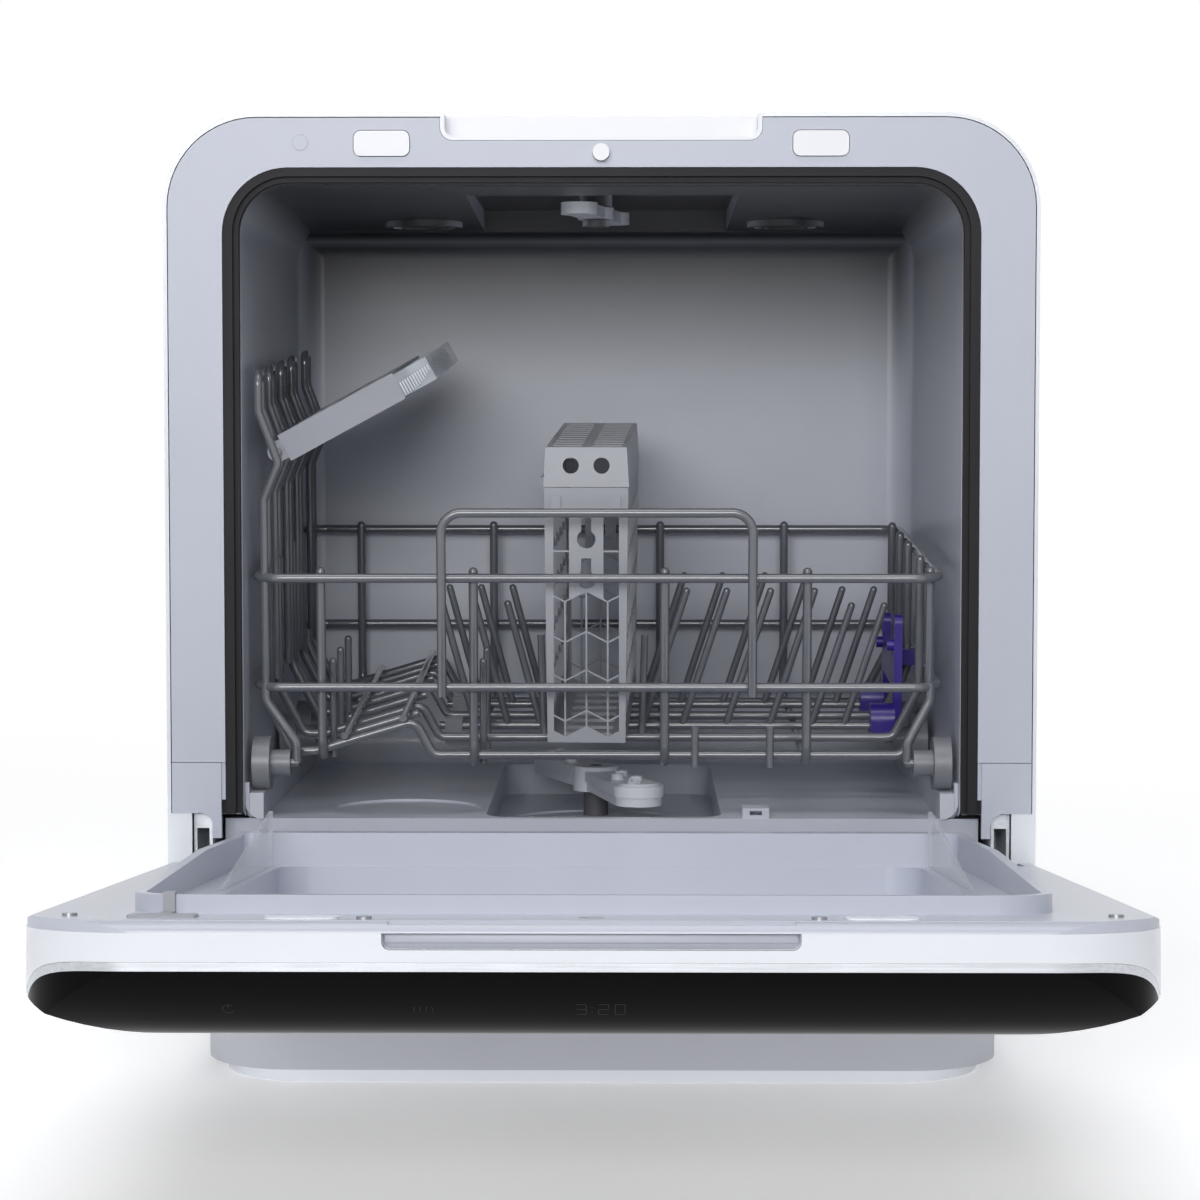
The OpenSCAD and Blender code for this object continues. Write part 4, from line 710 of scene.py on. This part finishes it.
class DISHWASHER_OT_machinery(Fitting):
    """Finish the sump, pumps, fan, tank and pipe behind the cavity"""

    bl_idname = "dishwasher.machinery"
    bl_label = "Machinery"

    def execute(self, context):
        t = context.scene.tub_finish
        dark = moulded("Hidden plastic", t.dark_fitting, rough=0.6)
        paint(dark, "sump", "wash_pump", "drain_pump", "drying_fan", "drain_outlet")
        paint(moulded("Tank plastic", t.tank, rough=0.5), "water_tank", "feed_pipe")
        return {"FINISHED"}


class DISHWASHER_OT_tub(Fitting):
    """Finish the wash cavity, rails, vents and filter"""

    bl_idname = "dishwasher.tub"
    bl_label = "Wash cavity"

    def execute(self, context):
        t = context.scene.tub_finish
        # The cavity wall and the ceiling fittings carry painted shade towards the top; the rails, clip and filter
        # of the same grey carry none.
        paint(cavity_plastic("Cavity wall", t.wall, 0.3, 260.0, t.grain), "tub")
        ceiling = cavity_plastic("Ceiling fitting", t.fitting, 0.36, 900.0, 0.03 * MM, top=0.15, ceiling=0.05)
        paint(ceiling, "ceiling_vents", "upper_spray_hub")
        fitting = moulded("Cavity fitting", t.fitting, rough=0.36, variation=0.03)
        paint(fitting, "basket_rails", "tub_clip", "filter_plate")
        return {"FINISHED"}


class DISHWASHER_OT_spray_arms(Fitting):
    """Finish the two spray arms"""

    bl_idname = "dishwasher.spray_arms"
    bl_label = "Spray arms"

    def execute(self, context):
        t = context.scene.tub_finish
        pale = moulded("Spray arm plastic", t.spray_arm, rough=0.32, variation=0.03, wear=0.2)
        paint(pale, "lower_spray_arm", "upper_spray_arm")
        return {"FINISHED"}


class DISHWASHER_OT_door(Fitting):
    """Finish the drop-down door's frame, liner, glass front and small fittings"""

    bl_idname = "dishwasher.door"
    bl_label = "Door"

    def execute(self, context):
        c, d = context.scene.cabinet_finish, context.scene.door_finish
        white = moulded(
            "Door white", c.enamel,
            rough=0.22, grain=500.0, depth=0.02 * MM, variation=0.015, wear=0.1, coat=0.3,
        )
        paint(white, "door_frame", "door_pads")
        liner = moulded("Liner grey", d.liner, rough=0.3, grain=500.0, variation=0.02, wear=0.1)
        paint(liner, "door_liner")
        trim = metal("Bright trim", d.trim, rough=0.22, streaks=(20.0, 900.0, 900.0), tarnish=0.05)
        paint(trim, "door_trim")
        paint(glossy_panel("Black glass", d.glass, d.gloss), "door_glass")
        paint(clear_plastic("Splash clear", d.splash), "splash_fins")
        paint(moulded("Vent strip grey", d.vent_strip, rough=0.4), "vent_strip")
        paint(metal("Screw steel", d.screw, rough=0.3, tarnish=0.3), "door_screws")
        paint(moulded("Board green", d.board, rough=0.4), "control_board")
        return {"FINISHED"}


class DISHWASHER_OT_grip_lining(Fitting):
    """Line the finger cut at the far edge of the door in grey, with a step in it"""

    bl_idname = "dishwasher.grip_lining"
    bl_label = "Grip lining"

    def execute(self, context):
        def build(bm):
            for half, low, high, radius, near, far, bevel in GRIP_LAYERS:
                slab(bm, rounded(half, low, high, radius), near, far, DOOR_REST, bevel=bevel)

        grey = moulded("Grip lining grey", context.scene.door_finish.grip, rough=0.35, variation=0.02)
        piece("grip_lining", build, grey, "door")
        return {"FINISHED"}


class DISHWASHER_OT_touch_marks(Fitting):
    """Lay faint touch marks and clock digits on the domed upper edge of the glass"""

    bl_idname = "dishwasher.touch_marks"
    bl_label = "Touch marks"

    def execute(self, context):
        d = context.scene.door_finish
        glass = NODES["door_glass"].data
        back = DOOR_REST.inverted()
        corners = [back @ v.co for v in glass.vertices]
        tree = BVHTree.FromPolygons(corners, [p.vertices[:] for p in glass.polygons])

        def build(bm):
            for start, end in mark_strokes():
                lay_stroke(bm, tree, start, end, d.mark_width / MM)

        mark = moulded("Touch marks", d.mark, rough=0.5, depth=0.0, variation=0.02, specular=0.1)
        piece("touch_marks", build, mark, "door")
        return {"FINISHED"}


class DISHWASHER_OT_wires(Fitting):
    """Finish the coated wires of the basket, its handle, cup rack and tines"""

    bl_idname = "dishwasher.wires"
    bl_label = "Wires"

    def execute(self, context):
        wire = moulded(
            "Coated wire", context.scene.basket_finish.wire,
            rough=0.16, grain=500.0, depth=0.02 * MM, variation=0.08, wear=0.1, coat=0.4, specular=0.7,
        )
        paint(
            wire, "basket_frame", "cup_ramp", "wheel_struts", "basket_handle", "cup_rack",
            "front_tines", "rear_tines",
        )
        return {"FINISHED"}


class DISHWASHER_OT_basket_fittings(Fitting):
    """Finish the wheels, tine clips, tine lock, cutlery box and its lid"""

    bl_idname = "dishwasher.basket_fittings"
    bl_label = "Basket fittings"

    def execute(self, context):
        b = context.scene.basket_finish
        plastic = moulded("Basket plastic", b.plastic, rough=0.36, variation=0.04, wear=0.25)
        paint(plastic, "front_wheels", "middle_wheels", "rear_wheels", "tine_clips")
        cutlery = moulded("Cutlery plastic", b.cutlery, rough=0.34, variation=0.04, wear=0.25)
        paint(cutlery, "cutlery_box", "cutlery_lid")
        paint(moulded("Lock violet", b.lock, rough=0.3, variation=0.06, wear=0.12), "tine_lock")
        return {"FINISHED"}


class DISHWASHER_OT_cup_shelf(Fitting):
    """Finish the cup shelf and its clear comb, and raise the comb's ridges"""

    bl_idname = "dishwasher.cup_shelf"
    bl_label = "Cup shelf"

    def execute(self, context):
        b, r = context.scene.basket_finish, RIDGES
        paint(moulded("Shelf plastic", b.shelf, rough=0.36, variation=0.04, wear=0.2), "cup_shelf")
        paint(clear_plastic("Comb clear", b.comb, 0.5), "cup_comb")

        def build(bm):
            for i in range(b.ridge_count):
                x = r["first"] + r["pitch"] * i
                foot = r["foot"] + r["rise"] * ((x - r["first"]) / r["span"]) ** r["curve"]
                head = r["head"] + r["climb"] * i
                outline = [(x, foot), (x + r["width"], foot), (x + r["width"], head), (x, head)]
                slab(bm, outline, r["near"], r["far"], SHELF_REST, (0, 2, 1), r["bevel"])

        piece("comb_ridges", build, clear_plastic("Ridge clear", b.ridge, 0.75), "shelf")
        return {"FINISHED"}


class DISHWASHER_OT_stage(Fitting):
    """Set the floor, the lights and the camera"""

    bl_idname = "dishwasher.stage"
    bl_label = "Stage"

    def execute(self, context):
        scene = context.scene
        s = scene.stage_settings
        self.floor(s)
        self.world(scene, s)
        self.lamps(s)
        self.camera(scene, s)
        scene.view_settings.view_transform = "Standard"
        return {"FINISHED"}

    def floor(self, s):
        """A plain floor that keeps the shadow near the object and fades to the plain background."""
        mesh = bpy.data.meshes.new("studio_floor")
        bm = bmesh.new()
        bmesh.ops.create_grid(bm, x_segments=FLOOR_SQUARES, y_segments=FLOOR_SQUARES, size=FLOOR_REACH)
        bm.to_mesh(mesh)
        bm.free()
        obj = bpy.data.objects.new("studio_floor", mesh)
        bpy.context.collection.objects.link(obj)
        mat, tree, shader = start_material("Studio floor")
        mesh.materials.append(mat)
        shader.inputs["Base Color"].default_value = (*s.floor, 1.0)
        shader.inputs["Roughness"].default_value = 0.9
        shader.inputs["Specular IOR Level"].default_value = 0.1
        glow = add(tree, "ShaderNodeEmission", Color=(1, 1, 1, 1))
        seen = background_rays(tree)
        tree.links.new(math_node(tree, "MULTIPLY", seen, FLOOR_LIFT), glow.inputs["Strength"])
        both = tree.nodes.new("ShaderNodeAddShader")
        tree.links.new(shader.outputs["BSDF"], both.inputs[0])
        tree.links.new(glow.outputs["Emission"], both.inputs[1])
        place = tree.nodes.new("ShaderNodeNewGeometry")
        reach = add(tree, "ShaderNodeVectorMath", {"operation": "LENGTH"})
        tree.links.new(place.outputs["Position"], reach.inputs[0])
        far = ramp(tree, reach.outputs["Value"], FADE_NEAR, FADE_FAR)
        plain = add(tree, "ShaderNodeEmission", Color=(1, 1, 1, 1), Strength=1.0)
        fade = tree.nodes.new("ShaderNodeMixShader")
        tree.links.new(math_node(tree, "MULTIPLY", far, seen), fade.inputs[0])
        tree.links.new(both.outputs[0], fade.inputs[1])
        tree.links.new(plain.outputs[0], fade.inputs[2])
        out = next(n for n in tree.nodes if n.type == "OUTPUT_MATERIAL")
        tree.links.new(fade.outputs[0], out.inputs["Surface"])

    def world(self, scene, s):
        """Even dim light on the object, and plain white where the background shows."""
        world = bpy.data.worlds.new("Studio")
        scene.world = world
        world.use_nodes = True
        tree = world.node_tree
        tree.nodes.clear()
        out = tree.nodes.new("ShaderNodeOutputWorld")
        dim = add(tree, "ShaderNodeBackground", Color=WORLD_TINT, Strength=s.world)
        plain = add(tree, "ShaderNodeBackground", Color=(1, 1, 1, 1), Strength=1.0)
        pick = tree.nodes.new("ShaderNodeMixShader")
        tree.links.new(background_rays(tree), pick.inputs[0])
        tree.links.new(dim.outputs[0], pick.inputs[1])
        tree.links.new(plain.outputs[0], pick.inputs[2])
        tree.links.new(pick.outputs[0], out.inputs["Surface"])

    def lamps(self, s):
        """Soft rectangular lamps that no camera ray sees."""
        for name, place, target, size, power, mirrored, spread in LAMPS:
            data = bpy.data.lights.new(name, "AREA")
            data.shape, data.size, data.size_y = "RECTANGLE", *size
            data.energy = power * s.key
            data.spread = math.radians(spread)
            obj = bpy.data.objects.new(name, data)
            bpy.context.collection.objects.link(obj)
            obj.location = place
            obj.rotation_euler = (Vector(target) - Vector(place)).to_track_quat("-Z", "Y").to_euler()
            obj.visible_camera = False
            obj.visible_glossy = mirrored

    def camera(self, scene, s):
        data = bpy.data.cameras.new("studio_camera")
        data.lens, data.sensor_width, data.sensor_fit = s.lens, SENSOR_WIDTH, "HORIZONTAL"
        data.clip_start, data.clip_end = CAMERA_CLIP
        cam = bpy.data.objects.new("studio_camera", data)
        bpy.context.collection.objects.link(cam)
        cam.location = CAMERA_PLACE
        cam.rotation_euler = (math.radians(90 - CAMERA_DOWN), 0.0, math.radians(CAMERA_LEFT))
        scene.camera = cam


class DISHWASHER_PT_panel(bpy.types.Panel):
    """Lists the dishwasher's finishing steps"""

    bl_idname = "DISHWASHER_PT_panel"
    bl_label = "Dishwasher"
    bl_space_type = "VIEW_3D"
    bl_region_type = "UI"
    bl_category = "Dishwasher"

    def draw(self, context):
        for op in STEPS:
            self.layout.operator(op.bl_idname)
        for name in PROPERTIES:
            box = self.layout.box()
            group = getattr(context.scene, name)
            for key in group.bl_rna.properties.keys():
                if key not in ("rna_type", "name"):
                    box.prop(group, key)


STEPS = (
    DISHWASHER_OT_casing,
    DISHWASHER_OT_front_frame,
    DISHWASHER_OT_hinges,
    DISHWASHER_OT_machinery,
    DISHWASHER_OT_tub,
    DISHWASHER_OT_spray_arms,
    DISHWASHER_OT_door,
    DISHWASHER_OT_grip_lining,
    DISHWASHER_OT_touch_marks,
    DISHWASHER_OT_wires,
    DISHWASHER_OT_basket_fittings,
    DISHWASHER_OT_cup_shelf,
    DISHWASHER_OT_stage,
)
PROPERTIES = {
    "cabinet_finish": CabinetFinish,
    "tub_finish": TubFinish,
    "door_finish": DoorFinish,
    "basket_finish": BasketFinish,
    "stage_settings": StageSettings,
}


def register():
    for cls in (*GROUPS, *STEPS, DISHWASHER_PT_panel):
        bpy.utils.register_class(cls)
    for name, cls in PROPERTIES.items():
        setattr(bpy.types.Scene, name, bpy.props.PointerProperty(type=cls))


def unregister():
    for name in PROPERTIES:
        delattr(bpy.types.Scene, name)
    for cls in (DISHWASHER_PT_panel, *reversed(STEPS), *reversed(GROUPS)):
        bpy.utils.unregister_class(cls)


def main():
    register()
    for step in STEPS:
        area, name = step.bl_idname.split(".")
        getattr(getattr(bpy.ops, area), name)()


if __name__ == "__main__":
    main()
